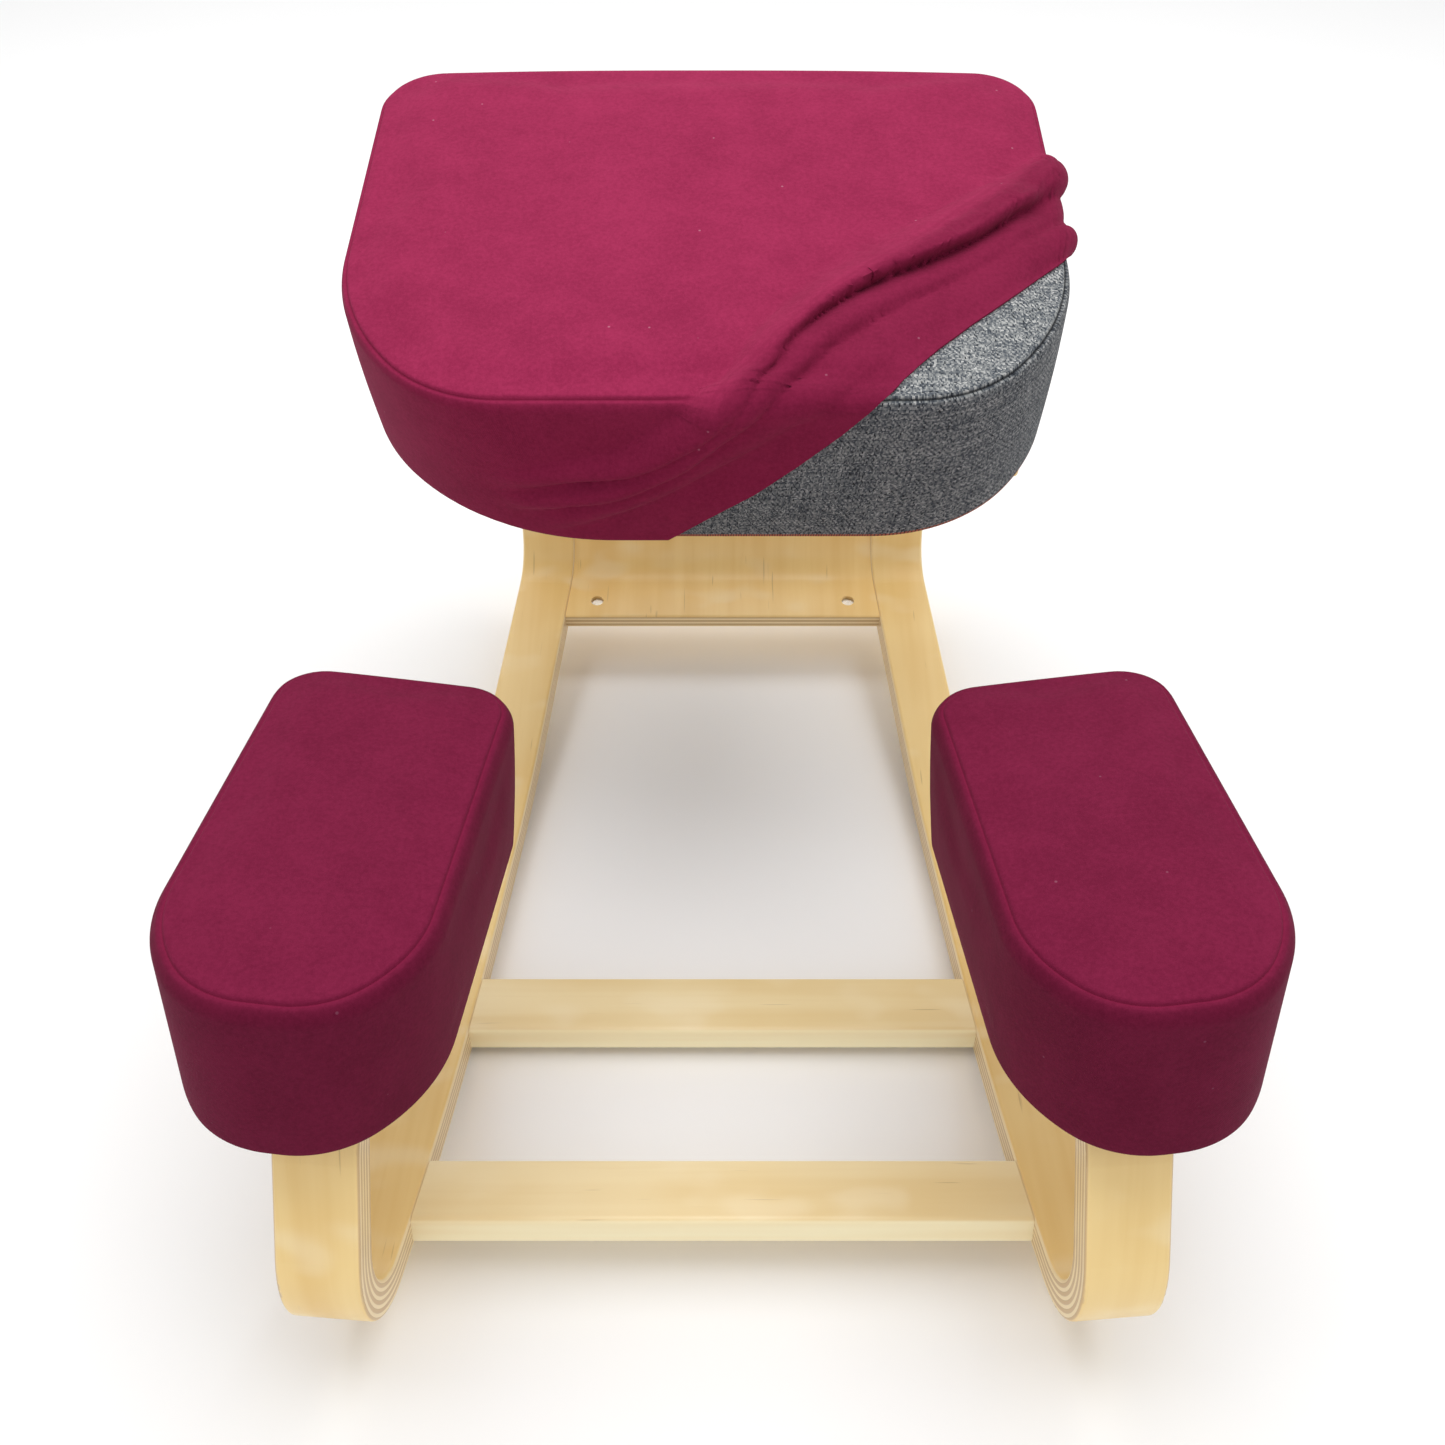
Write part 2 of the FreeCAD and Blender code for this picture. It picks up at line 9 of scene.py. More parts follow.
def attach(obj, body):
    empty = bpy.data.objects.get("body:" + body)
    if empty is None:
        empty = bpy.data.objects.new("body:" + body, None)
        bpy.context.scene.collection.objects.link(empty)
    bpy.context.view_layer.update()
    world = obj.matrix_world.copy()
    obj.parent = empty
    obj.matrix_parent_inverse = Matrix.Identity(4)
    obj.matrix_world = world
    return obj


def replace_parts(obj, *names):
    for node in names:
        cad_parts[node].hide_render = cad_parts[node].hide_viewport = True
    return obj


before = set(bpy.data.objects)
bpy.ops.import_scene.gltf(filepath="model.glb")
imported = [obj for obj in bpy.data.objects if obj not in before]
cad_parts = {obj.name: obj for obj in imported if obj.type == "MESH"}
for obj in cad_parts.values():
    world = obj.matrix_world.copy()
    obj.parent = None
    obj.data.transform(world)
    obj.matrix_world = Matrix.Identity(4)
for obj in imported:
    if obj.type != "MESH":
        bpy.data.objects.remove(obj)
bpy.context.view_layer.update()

mm = 0.001
body = "root"

studio = {
    "cameraPlace": (0.0, -0.73162, 0.8143),
    "cameraDown": 42.0,          # degrees below the horizon
    "lens": 37.37,
    "sensor": 36.0,
    "floorSize": 9.0,
    "floorDrop": 0.0004,         # just under the rockers, so that no faces coincide
    "floorTones": ((0.95, 0.95, 0.95), (0.97, 0.97, 0.97)),
    "skyStrength": 0.68,
    "lights": [                  # name, place, aim, width, height, watts
        ("overhead", (0.1, 0.45, 2.6), (0.0, 0.0, 0.2), 3.4, 2.6, 57.0),
        ("front", (-0.9, -2.3, 1.5), (0.0, 0.0, 0.15), 1.8, 1.2, 4.0),
    ],
}


def emptyHands():
    if bpy.context.object and bpy.context.object.mode != "OBJECT":
        bpy.ops.object.mode_set(mode="OBJECT")
    bpy.ops.object.select_all(action="DESELECT")


def inHand(piece):
    emptyHands()
    piece.select_set(True)
    bpy.context.view_layer.objects.active = piece


def setUpStudio():
    scene = bpy.context.scene
    lens = bpy.data.cameras.new("camera")
    lens.lens = studio["lens"]
    lens.sensor_width = studio["sensor"]
    camera = bpy.data.objects.new("camera", lens)
    camera.location = studio["cameraPlace"]
    camera.rotation_euler = (math.radians(90 - studio["cameraDown"]), 0, 0)
    scene.collection.objects.link(camera)
    scene.camera = camera
    for name, place, aim, width, height, watts in studio["lights"]:
        lamp = bpy.data.lights.new(name, "AREA")
        lamp.shape = "RECTANGLE"
        lamp.size = width
        lamp.size_y = height
        lamp.energy = watts
        holder = bpy.data.objects.new(name, lamp)
        holder.location = place
        holder.rotation_euler = (Vector(aim) - Vector(place)).to_track_quat("-Z", "Y").to_euler()
        scene.collection.objects.link(holder)
    world = bpy.data.worlds.new("studio")
    world.use_nodes = True
    world.node_tree.nodes["Background"].inputs["Color"].default_value = (1, 1, 1, 1)
    world.node_tree.nodes["Background"].inputs["Strength"].default_value = studio["skyStrength"]
    scene.world = world
    scene.view_settings.view_transform = "Standard"
    emptyHands()
    bpy.ops.mesh.primitive_plane_add(size=studio["floorSize"], location=(0, 0, -studio["floorDrop"]))
    floor = bpy.context.object
    floor.name = "studio_floor"
    bpy.ops.object.transform_apply(location=True)
    paint = Finish("studio_floor", Roughness=0.9)
    paint.colour(paint.mix(paint.noise(paint.place(), 3.0, 2), *studio["floorTones"]))
    paint.put(floor)


class Wire:                      # a socket that takes part in sums
    def __init__(self, finish, socket):
        self.finish = finish
        self.socket = socket

    def __add__(self, other):
        return self.finish.maths("ADD", self, other)

    def __sub__(self, other):
        return self.finish.maths("SUBTRACT", self, other)

    def __rsub__(self, other):
        return self.finish.maths("SUBTRACT", other, self)

    def __mul__(self, other):
        return self.finish.maths("MULTIPLY", self, other)

    def __truediv__(self, other):
        return self.finish.maths("DIVIDE", self, other)

    def __gt__(self, other):
        return self.finish.maths("GREATER_THAN", self, other)

    def __lt__(self, other):
        return self.finish.maths("LESS_THAN", self, other)


class Finish:                    # one material and its nodes
    def __init__(self, name, **constants):
        self.material = bpy.data.materials.new(name)
        self.material.use_nodes = True
        self.tree = self.material.node_tree
        self.shader = self.tree.nodes["Principled BSDF"]
        for socket, value in constants.items():
            self.shader.inputs[socket.replace("_", " ")].default_value = value

    def node(self, kind, settings=None, inputs=None, output=0):
        made = self.tree.nodes.new(kind)
        for key, value in (settings or {}).items():
            if key == "stops":
                ramp = made.color_ramp
                while len(ramp.elements) < len(value):
                    ramp.elements.new(0.5)
                for element, (spot, shade) in zip(ramp.elements, value):
                    element.position = spot
                    element.color = (*shade, 1)
            else:
                setattr(made, key, value)
        for key, value in (inputs or {}).items():
            if isinstance(value, Wire):
                self.tree.links.new(value.socket, made.inputs[key])
            else:
                made.inputs[key].default_value = value
        return Wire(self, made.outputs[output])

    def maths(self, operation, *parts):
        return self.node("ShaderNodeMath", {"operation": operation}, dict(enumerate(parts)))

    def vector(self, operation, *parts, output=0):
        return self.node("ShaderNodeVectorMath", {"operation": operation}, dict(enumerate(parts)), output)

    def place(self):
        return self.node("ShaderNodeTexCoord", output="Object")

    def mapOf(self, name):
        return self.node("ShaderNodeUVMap", {"uv_map": name})

    def facing(self):
        return self.node("ShaderNodeNewGeometry", output="Normal")

    def split(self, wire):
        parts = self.node("ShaderNodeSeparateXYZ", None, {0: wire})
        outlets = parts.socket.node.outputs
        return [Wire(self, outlets[axis]) for axis in "XYZ"]

    def join(self, x, y, z):
        return self.node("ShaderNodeCombineXYZ", None, {0: x, 1: y, 2: z})

    def stretched(self, wire, scale=(1, 1, 1), shift=(0, 0, 0)):
        return self.node("ShaderNodeMapping", None, {"Vector": wire, "Scale": scale, "Location": shift})

    def noise(self, wire, scale, detail=2.0, roughness=0.5):
        return self.node("ShaderNodeTexNoise", None,
                         {"Vector": wire, "Scale": scale, "Detail": detail, "Roughness": roughness})

    def step(self, wire, low, high, out=(0.0, 1.0)):
        return self.node("ShaderNodeMapRange", {"interpolation_type": "SMOOTHSTEP"},
                         {"Value": wire, "From Min": low, "From Max": high,
                          "To Min": out[0], "To Max": out[1]})

    def mix(self, amount, first, second, blend="MIX"):
        parts = {0: amount}
        for key, value in ((6, first), (7, second)):
            parts[key] = value if isinstance(value, Wire) else (*value, 1)
        return self.node("ShaderNodeMix", {"data_type": "RGBA", "blend_type": blend}, parts, 2)

    def feed(self, socket, wire):
        self.tree.links.new(wire.socket, self.shader.inputs[socket])

    def colour(self, wire):
        self.feed("Base Color", wire)

    def relief(self, height, depth, strength):
        self.feed("Normal", self.node("ShaderNodeBump", None,
                                      {"Strength": strength, "Distance": depth, "Height": height}))

    def put(self, *pieces):
        for piece in pieces:
            piece.data.materials.clear()
            piece.data.materials.append(self.material)


# Bent strip of the side rails, the same moves as its solid: (length) or (radius, turn)
strip = {
    "thick": 0.021,
    "within": 0.56,              # share of the thickness, either side of its middle, taken as the strip
    "gap": 0.1805,
    "splay": math.radians(4.7),
    "rear": 0.36682,             # from the front of the loop to the middle of the chair
    "start": (0.2292, 0.1672),
    "heading": 173.8,
    "moves": [(0.140,), (0.048, 67.4), (0.055,), (0.047, 105.6), (1.160, 13.2), (0.060,),
              (0.850, 9.5), (0.145,), (0.041, 70.5), (0.169,), (0.080, 110.8), (0.184,)],
    "plies": 0.0021,             # thickness of one layer
}


def stripStops():
    y, z = strip["start"]
    heading = strip["heading"]
    stops = [(y, z, heading)]
    for move in strip["moves"]:
        a = math.radians(heading)
        if len(move) == 1:
            y += math.cos(a) * move[0]
            z += math.sin(a) * move[0]
        else:
            radius, turn = move
            b = math.radians(heading + turn)
            y += radius * (math.sin(b) - math.sin(a))
            z += radius * (math.cos(a) - math.cos(b))
            heading += turn
        stops.append((y, z, heading))
    return stops


def depthInStrip(wood, y, z):
    # signed distance to the strip's middle line, each move giving it beside itself alone
    stops = stripStops()
    lift = 1.0                   # keeps the depth that counts above the zeros of the other moves
    best = None
    for move, (y0, z0, h0), (y1, z1, h1) in zip(strip["moves"], stops, stops[1:]):
        a, b = math.radians(h0), math.radians(h1)
        after = ((y - y0) * math.cos(a) + (z - z0) * math.sin(a)) > 0.0
        before = ((y - y1) * math.cos(b) + (z - z1) * math.sin(b)) < 0.0
        if len(move) == 1:
            depth = (z - z0) * math.cos(a) - (y - y0) * math.sin(a)
        else:
            cy, cz = y0 - math.sin(a) * move[0], z0 + math.cos(a) * move[0]
            depth = move[0] - wood.vector("LENGTH", wood.join(0.0, y - cy, z - cz), output="Value")
        near = wood.maths("ABSOLUTE", depth) < strip["thick"] * strip["within"]
        here = (depth + lift) * near * after * before
        best = here if best is None else wood.maths("MAXIMUM", best, here)
    return best - lift


birchTones = {
    "rail": {"pale": (0.91, 0.67, 0.29), "warm": (0.81, 0.54, 0.19), "edge": (0.88, 0.71, 0.42)},
    # the bars' edge tone is painted light: their front and rear faces painted paler, as lit from the front
    "bar": {"pale": (0.92, 0.76, 0.45), "warm": (0.83, 0.63, 0.31), "edge": (0.99, 0.91, 0.62)},
    "panel": {"pale": (0.95, 0.69, 0.30), "warm": (0.85, 0.56, 0.20), "edge": (0.80, 0.60, 0.33)},
}
plyTones = {"pale": (0.88, 0.71, 0.43), "dark": (0.60, 0.40, 0.19), "glue": (0.30, 0.18, 0.08)}
plyShift = 20.0                  # an even count of layers, keeps the count above zero
knotTone = (0.34, 0.20, 0.09)
curlTone = (1.0, 0.88, 0.62)
birchScale = {"fibres": 260.0, "bands": 34.0, "clouds": 9.0, "curls": 22.0, "flecks": 420.0, "streaks": 60.0}


def birch(name, tones, run, edge=None, plyDepth=None):
    # run holds how tightly the figure is packed along x, y and z; small along the grain
    wood = Finish(name, Roughness=0.36, Coat_Weight=0.20, Coat_Roughness=0.28)
    place = wood.place()
    grain = wood.stretched(place, scale=run)
    fibres = wood.noise(grain, birchScale["fibres"], 3)
    bands = wood.noise(grain, birchScale["bands"], 3, 0.6)
    cloud = wood.noise(place, birchScale["clouds"], 2)
    figure = wood.step(bands * 0.55 + cloud * 0.45, 0.36, 0.66)
    shade = wood.mix(figure, tones["pale"], tones["warm"])
    shade = wood.mix(wood.step(fibres, 0.5, 0.8, (0.0, 0.25)), shade, tones["warm"])
    curl = wood.noise(wood.stretched(place, scale=(1.0, 1.6, 1.6), shift=(3, 1, 2)), birchScale["curls"], 1)
    shade = wood.mix(wood.step(curl, 0.54, 0.74, (0.0, 0.28)), shade, curlTone)
    flecks = wood.noise(wood.stretched(grain, shift=(7, 3, 5)), birchScale["flecks"], 1)
    shade = wood.mix(wood.step(flecks, 0.72, 0.80, (0.0, 0.40)), shade, knotTone)
    height = fibres
    if edge is not None:
        onEdge = edge(wood)
        if plyDepth is None:
            # without plies the edge tone is used; on the bars it is painted light
            rim = wood.mix(wood.step(bands, 0.35, 0.7), tones["edge"], tones["pale"])
        else:
            layer = plyDepth(wood, place) / strip["plies"] + plyShift
            odd = wood.maths("FLOOR", layer) - wood.maths("FLOOR", layer * 0.5) * 2.0
            within = wood.maths("FRACT", layer)
            streak = wood.noise(wood.stretched(place, scale=(0.2, 1, 1)), birchScale["streaks"], 3)
            layers = wood.step(odd * 0.6 + streak * 0.7, 0.35, 0.95)
            rim = wood.mix(layers, plyTones["pale"], plyTones["dark"])
            glue = wood.step(within, 0.84, 0.97) * wood.step(within, 1.0, 0.97)
            rim = wood.mix(glue * 0.5, rim, plyTones["glue"])
            height = fibres - onEdge * glue * 0.8
        shade = wood.mix(onEdge, shade, rim)
    wood.colour(shade)
    wood.feed("Roughness", wood.step(bands, 0.3, 0.7, (0.32, 0.42)))
    wood.relief(height, 0.00006, 0.6)
    return wood


def railDepth(wood, place):
    # the rails splay: the depth is taken in the plane that each one is bent in
    x, y, z = wood.split(place)
    across = wood.maths("ABSOLUTE", x) - strip["gap"]
    down = (y + strip["rear"]) * math.cos(strip["splay"]) - across * math.sin(strip["splay"])
    return depthInStrip(wood, down, z)


def sideways(wood):
    # the rails' two cut sides
    return wood.step(wood.maths("ABSOLUTE", wood.split(wood.facing())[0]), 0.45, 0.8)


def lengthways(wood):
    # the bars' front and rear edges; their paler edge tone is painted light
    return wood.step(wood.maths("ABSOLUTE", wood.split(wood.facing())[1]), 0.45, 0.8)


def panelDepth(wood, place):
    # square to the panel's foot, which lies on the runner
    y, z = wood.split(place)[1:]
    lean = math.radians(strip["moves"][6][1])
    return z * math.cos(lean) - y * math.sin(lean)


# distances from the panel's front: its cut edge up to the first, its upright face past the second
panelEdge = (0.010, 0.014)


def footwards(wood):
    # the panel's front edge alone, not the upright face behind it
    y, z = wood.split(wood.facing())[1:]
    front = min(corner.co.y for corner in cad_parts["rear_cross_panel"].data.vertices)
    behind = wood.split(wood.place())[1] - front
    atFront = wood.step(behind, panelEdge[1], panelEdge[0])
    return wood.step(y * -1.0, 0.55, 0.85) * wood.step(z, 0.5, 0.2) * atFront


def steel():
    metal = Finish("steel", Metallic=1.0, Roughness=0.28)
    place = metal.place()
    wear = metal.noise(place, 900.0, 2)
    metal.colour(metal.mix(wear, (0.60, 0.59, 0.56), (0.80, 0.79, 0.76)))
    metal.feed("Roughness", metal.step(metal.noise(place, 300.0, 2), 0.3, 0.7, (0.22, 0.42)))
    metal.relief(wear, 0.00003, 0.4)
    return metal


def lining():
    felt = Finish("black_lining", Roughness=0.9)
    fibres = felt.noise(felt.place(), 700.0, 4, 0.7)
    dots = felt.node("ShaderNodeTexVoronoi", None, {"Vector": felt.place(), "Scale": 420.0})
    felt.colour(felt.mix(fibres * 0.6 + dots * 0.4, (0.010, 0.010, 0.011), (0.050, 0.050, 0.054)))
    felt.relief(fibres * 0.5 + felt.step(dots, 0.1, 0.4) * 0.5, 0.0002, 0.7)
    return felt


# band: painted shade, the share of colour kept on the side band, painted darker than the top as it gets less
# light
jerseyTones = {"deep": (0.235, 0.014, 0.056), "mid": (0.330, 0.024, 0.084), "bright": (0.40, 0.040, 0.115),
               "lint": (0.60, 0.30, 0.38), "band": 0.70}   # band: how dark the side band is beside the top
jerseyScale = {"nap": 420.0, "blotch": 30.0, "drift": 6.0, "pile": 1500.0, "lint": 42.0,
               "wale": 0.00085, "course": 0.0011}          # wale and course: width and height of a stitch


def jersey(name, paintedShadeFactor):
    # the last argument is painted shade: the share of the colour kept; below 1 the whole cover is painted
    # darker to stand for less light on it
    cloth = Finish(name, Roughness=0.88, Sheen_Weight=0.05, Sheen_Roughness=0.5,
                   Specular_IOR_Level=0.06)
    cloth.shader.inputs["Sheen Tint"].default_value = (0.95, 0.35, 0.5, 1)
    place = cloth.place()
    nap = cloth.noise(place, jerseyScale["nap"], 4, 0.65)
    blotch = cloth.noise(place, jerseyScale["blotch"], 4, 0.7)
    drift = cloth.noise(place, jerseyScale["drift"], 2)
    u, v = cloth.split(cloth.mapOf("cloth"))[:2]
    wale = cloth.maths("SINE", u * (2 * math.pi / jerseyScale["wale"]))
    course = cloth.maths("SINE", v * (2 * math.pi / jerseyScale["course"]))
    knit = (wale * course) * 0.5 + 0.5
    tone = cloth.step(nap * 0.45 + blotch * 0.35 + drift * 0.2, 0.32, 0.68)
    shade = cloth.mix(tone, jerseyTones["deep"], jerseyTones["mid"])
    pile = cloth.noise(place, jerseyScale["pile"], 2)
    shade = cloth.mix(cloth.step(pile, 0.52, 0.75, (0.0, 0.30)), shade, jerseyTones["bright"])
    shade = cloth.mix(cloth.step(knit, 0.0, 0.4, (0.12, 0.0)), shade, jerseyTones["deep"])
    lint = cloth.node("ShaderNodeTexVoronoi", None, {"Vector": place, "Scale": jerseyScale["lint"]})
    shade = cloth.mix(cloth.step(lint, 0.040, 0.018, (0.0, 0.35)), shade, jerseyTones["lint"])
    # painted shade: the side band below the seam is darkened by the band factor
    fromSeam = cloth.split(cloth.mapOf("seam"))[1]
    side = cloth.step(fromSeam, 0.001, -0.006)
    # painted shadow: a dark line along the seam's groove
    seamShadow = cloth.step(cloth.maths("ABSOLUTE", fromSeam), 0.0012, 0.0002)
    sideShade = jerseyTones["band"]
    shade = cloth.mix(side, shade, cloth.mix(1.0, shade, (sideShade, sideShade * 0.85, sideShade * 0.95), "MULTIPLY"))
    # painted shade: the whole cover darkened by the factor
    if paintedShadeFactor < 1:
        shade = cloth.mix(1.0, shade, (paintedShadeFactor, paintedShadeFactor * 0.92, paintedShadeFactor), "MULTIPLY")
    shade = cloth.mix(seamShadow * 0.45, shade, jerseyTones["deep"])
    cloth.colour(shade)
    cloth.relief(nap * 0.7 + knit * 0.3 + blotch * 0.3, 0.0003, 0.5)
    return cloth


# band: painted shade, the share of colour kept on the grey side band, painted darker than the top as it gets
# less light
weaveTones = {"black": (0.010, 0.012, 0.016), "slate": (0.080, 0.092, 0.110),
              "grey": (0.26, 0.27, 0.27), "white": (0.59, 0.59, 0.575), "band": 0.58}


weaveScale = {"warp": 0.00078, "weft": 0.00085,    # widths of a thread
              "stitch": 0.0034, "stitchAt": 0.0030, "serge": 0.0030, "sergeThread": 0.0018}


def greyWeave():
    # each thread has its own light and dark lengths; warp and weft cross two by two
    cloth = Finish("grey_weave", Roughness=0.84, Specular_IOR_Level=0.2)
    u, v = cloth.split(cloth.mapOf("cloth"))[:2]
    warp, weft = u / weaveScale["warp"], v / weaveScale["weft"]
    column, row = cloth.maths("FLOOR", warp), cloth.maths("FLOOR", weft)
    lengths = cloth.noise(cloth.join(column * 7.3, v * 170.0, 0.0), 1.0, 2, 0.6)
    runs = cloth.noise(cloth.join(u * 150.0, row * 7.3, 5.0), 1.0, 2, 0.6)
    over = cloth.maths("FRACT", (column + row) * 0.25) > 0.49
    grain = cloth.node("ShaderNodeTexWhiteNoise", {"noise_dimensions": "2D"},
                       {"Vector": cloth.join(column, row, 0.0)})
    mass = cloth.noise(cloth.mapOf("cloth"), 30.0, 2)
    rowTone = cloth.node("ShaderNodeTexWhiteNoise", {"noise_dimensions": "1D"}, {"W": row})
    columnTone = cloth.node("ShaderNodeTexWhiteNoise", {"noise_dimensions": "1D"}, {"W": column + 0.5})
    tone = (runs + rowTone * 0.16) * over + (lengths + columnTone * 0.16 - 0.08) * (1.0 - over)
    tone = (tone - 0.5) * 1.25 + 0.47 + (grain - 0.5) * 0.34 + (mass - 0.5) * 0.15
    shade = cloth.node("ShaderNodeValToRGB",
                       {"stops": [(0.12, weaveTones["black"]), (0.38, weaveTones["slate"]),
                                  (0.60, weaveTones["grey"]), (0.90, weaveTones["white"])]}, {0: tone})
    along, fromSeam = cloth.split(cloth.mapOf("seam"))[:2]
    # painted shade: the side band below the seam is darkened by the band factor
    side = cloth.step(fromSeam, 0.0005, -0.003)
    sideShade = weaveTones["band"]
    shade = cloth.mix(side, shade, cloth.mix(1.0, shade, (sideShade, sideShade, sideShade * 1.03), "MULTIPLY"))
    # painted shadow: a dark line along the seam's groove
    seamShadow = cloth.step(cloth.maths("ABSOLUTE", fromSeam), 0.0011, 0.0002)
    besideStitches = cloth.maths("ABSOLUTE", fromSeam - weaveScale["stitchAt"])
    dashes = cloth.maths("FRACT", along / weaveScale["stitch"]) > 0.35
    stitch = dashes * cloth.step(besideStitches, 0.0006, 0.0003)
    shade = cloth.mix(seamShadow * 0.8, shade, weaveTones["black"])
    shade = cloth.mix(stitch * 0.5, shade, weaveTones["slate"])
    serge = cloth.step(v, weaveScale["serge"], 0.0022)
    thread = cloth.maths("FRACT", u / weaveScale["sergeThread"]) > 0.35
    shade = cloth.mix(serge, shade, cloth.mix(thread, (0.07, 0.025, 0.02), (0.36, 0.10, 0.06)))
    cloth.colour(shade)
    threads = cloth.maths("SINE", warp * math.pi) * cloth.maths("SINE", weft * math.pi)
    cloth.relief(cloth.maths("ABSOLUTE", threads) + grain * 0.3 - seamShadow * 3.0, 0.00022, 0.6)
    return cloth


# Pads, in mm and in their own frames: the front at y 0, the foot at z 0
seatPad = {
    "width": 431.0, "length": 329.0, "height": 106.0, "rearRadius": 40.0,
    "frontAcross": 102.0, "frontAlong": 132.0,      # front corners at the top edge
    "footAcross": 160.0, "footAlong": 150.0,        # and at the foot, rounder
    "footRight": 0.3,                               # share of that on the side that covers a rail end
    "edgeRound": 10.0, "seamAt": 50.0,              # seam's place on the edge round, degrees
    "around": 320, "crown": 4.0, "rearCrown": 5.5, "sideBulge": 1.5,
    "start": 2.5, "cap": 4.5, "firm": 0.45,         # swelling: inset before it, most of it, share kept
    "pressure": 4.0, "voxel": 5.5,
    "place": (Matrix.Translation((-0.009, 0.368906 - strip["rear"], 0.299863))
              @ Matrix.Rotation(math.radians(10.8356), 4, "X")),
}
kneePad = {
    "width": 135.5, "length": 259.0, "height": 95.0, "rearRadius": 29.0,
    "frontAcross": 60.0, "frontAlong": 72.0, "footAcross": 64.0, "footAlong": 82.0, "footRight": 1.0,
    "edgeRound": 11.0, "seamAt": 62.0,
    "around": 240, "crown": 3.5, "rearCrown": 1.5, "sideBulge": 1.0,
    "start": 2.0, "cap": 3.0, "firm": 0.45, "pressure": 4.0, "voxel": 4.5,
    "place": (Matrix.Translation((0.209, 0.0189 - strip["rear"], 0.199886))
              @ Matrix.Rotation(math.radians(4.6), 4, "Z")
              @ Matrix.Rotation(math.radians(-6.2), 4, "X")
              @ Matrix.Rotation(math.radians(-4.2), 4, "Y")),
}
frontTurn = math.radians(50.0)   # share of a front corner on its tighter arc
perRun = 200                     # points on each run of a plan
clothLayer = {
    "cover": 1.2, "coverUnder": 18.0, "coverLow": -2.4,     # thickness, width turned under, lowest edge
    "fixed": 1.4, "fixedUnder": 24.0, "fixedLow": -0.6, "fixedIn": 1.7,
}
liningPlan = {"thick": 0.5, "clear": 0.6, "height": 0.2, "columns": 160,
              "steps": (0, 4, 8, 14, 22, 32, 44, 58, 74, 92, 112, 134)}
seamGroove = {"deep": 1.15, "wide": 0.9, "lips": ((2.3, 0.35), (-2.3, 0.3)), "lipWide": 1.2}
footRound = 2.5
mapShift = {"top": 500, "under": -200}                      # keep the cloth map's patches apart
inflating = {"columns": 200, "frames": 20, "quality": 6, "heldBelow": 6.0, "mouth": 20.0}
fieldNear = 8                                               # neighbours that a point follows
fieldSoft = 0.002                                           # how evenly it follows them
besideSwelling = 0.4                                        # share of the crown left to add to a swollen pad
trueOffset = 14.0                                           # beyond it a ring is drawn towards the middle


def planLoop(pad, across, deep):
    # plan of a pad in mm, counter-clockwise from the front middle
    half, length, rear = pad["width"] / 2, pad["length"], pad["rearRadius"]
    sine, cosine = math.sin(frontTurn), math.cos(frontTurn)
    spread = sine * cosine - (1 - sine) * (1 - cosine)
    tight = (across * cosine - deep * (1 - sine)) / spread
    slack = (deep * sine - across * (1 - cosine)) / spread
    flat = half - across
    shares = np.arange(perRun) / perRun
    runs = [np.column_stack([flat * shares, np.zeros(perRun)])]
    for radius, cx, cy, low, high in ((tight, flat, tight, 0.0, frontTurn),
                                      (slack, half - slack, deep, frontTurn, math.pi / 2)):
        t = low + (high - low) * shares
        runs.append(np.column_stack([cx + radius * np.sin(t), cy - radius * np.cos(t)]))
    runs.append(np.column_stack([np.full(perRun, half), deep + (length - rear - deep) * shares]))
    t = math.pi / 2 * shares
    runs.append(np.column_stack([half - rear + rear * np.cos(t), length - rear + rear * np.sin(t)]))
    last = np.arange(perRun + 1) / perRun
    runs.append(np.column_stack([(half - rear) * (1 - last), np.full(perRun + 1, length)]))
    right = np.vstack(runs)
    return np.vstack([right, right[::-1][1:] * (-1, 1)])


def outwards(loop):
    run = np.roll(loop[:-1], -2, axis=0) - np.roll(loop[:-1], 2, axis=0)
    run = np.vstack([run, run[:1]])
    run /= np.linalg.norm(run, axis=1)[:, None]
    return np.column_stack([run[:, 1], -run[:, 0]])


def planOf(pad, count):
    # columns of the shell: top and foot plans with their outward directions, and the way round
    top = planLoop(pad, pad["frontAcross"], pad["frontAlong"])
    foot = planLoop(pad, pad["footAcross"], pad["footAlong"])
    foot[foot[:, 0] > 0] = (top + (foot - top) * pad["footRight"])[foot[:, 0] > 0]
    reach = np.concatenate([[0], np.cumsum(np.linalg.norm(np.diff(top, axis=0), axis=1))])
    spots = np.linspace(0, reach[-1], count + 1)
    at = np.interp(spots, reach, np.arange(len(reach)))
    picked = []
    for values in (top, outwards(top), foot, outwards(foot)):
        picked.append(np.column_stack([np.interp(at, np.arange(len(values)), values[:, k]) for k in (0, 1)]))
    return picked, spots


# mm inwards from where the edge round meets the top
topSteps = (1.5, 3, 5, 8, 11, 14.5, 18.5, 23, 28, 33, 38, 43, 48, 53, 58, 64, 70, 77, 84, 92, 101, 111, 122,
            134, 146, 155)


middleInset = 1e6                # more than any pad's half: the ring shrinks to the middle


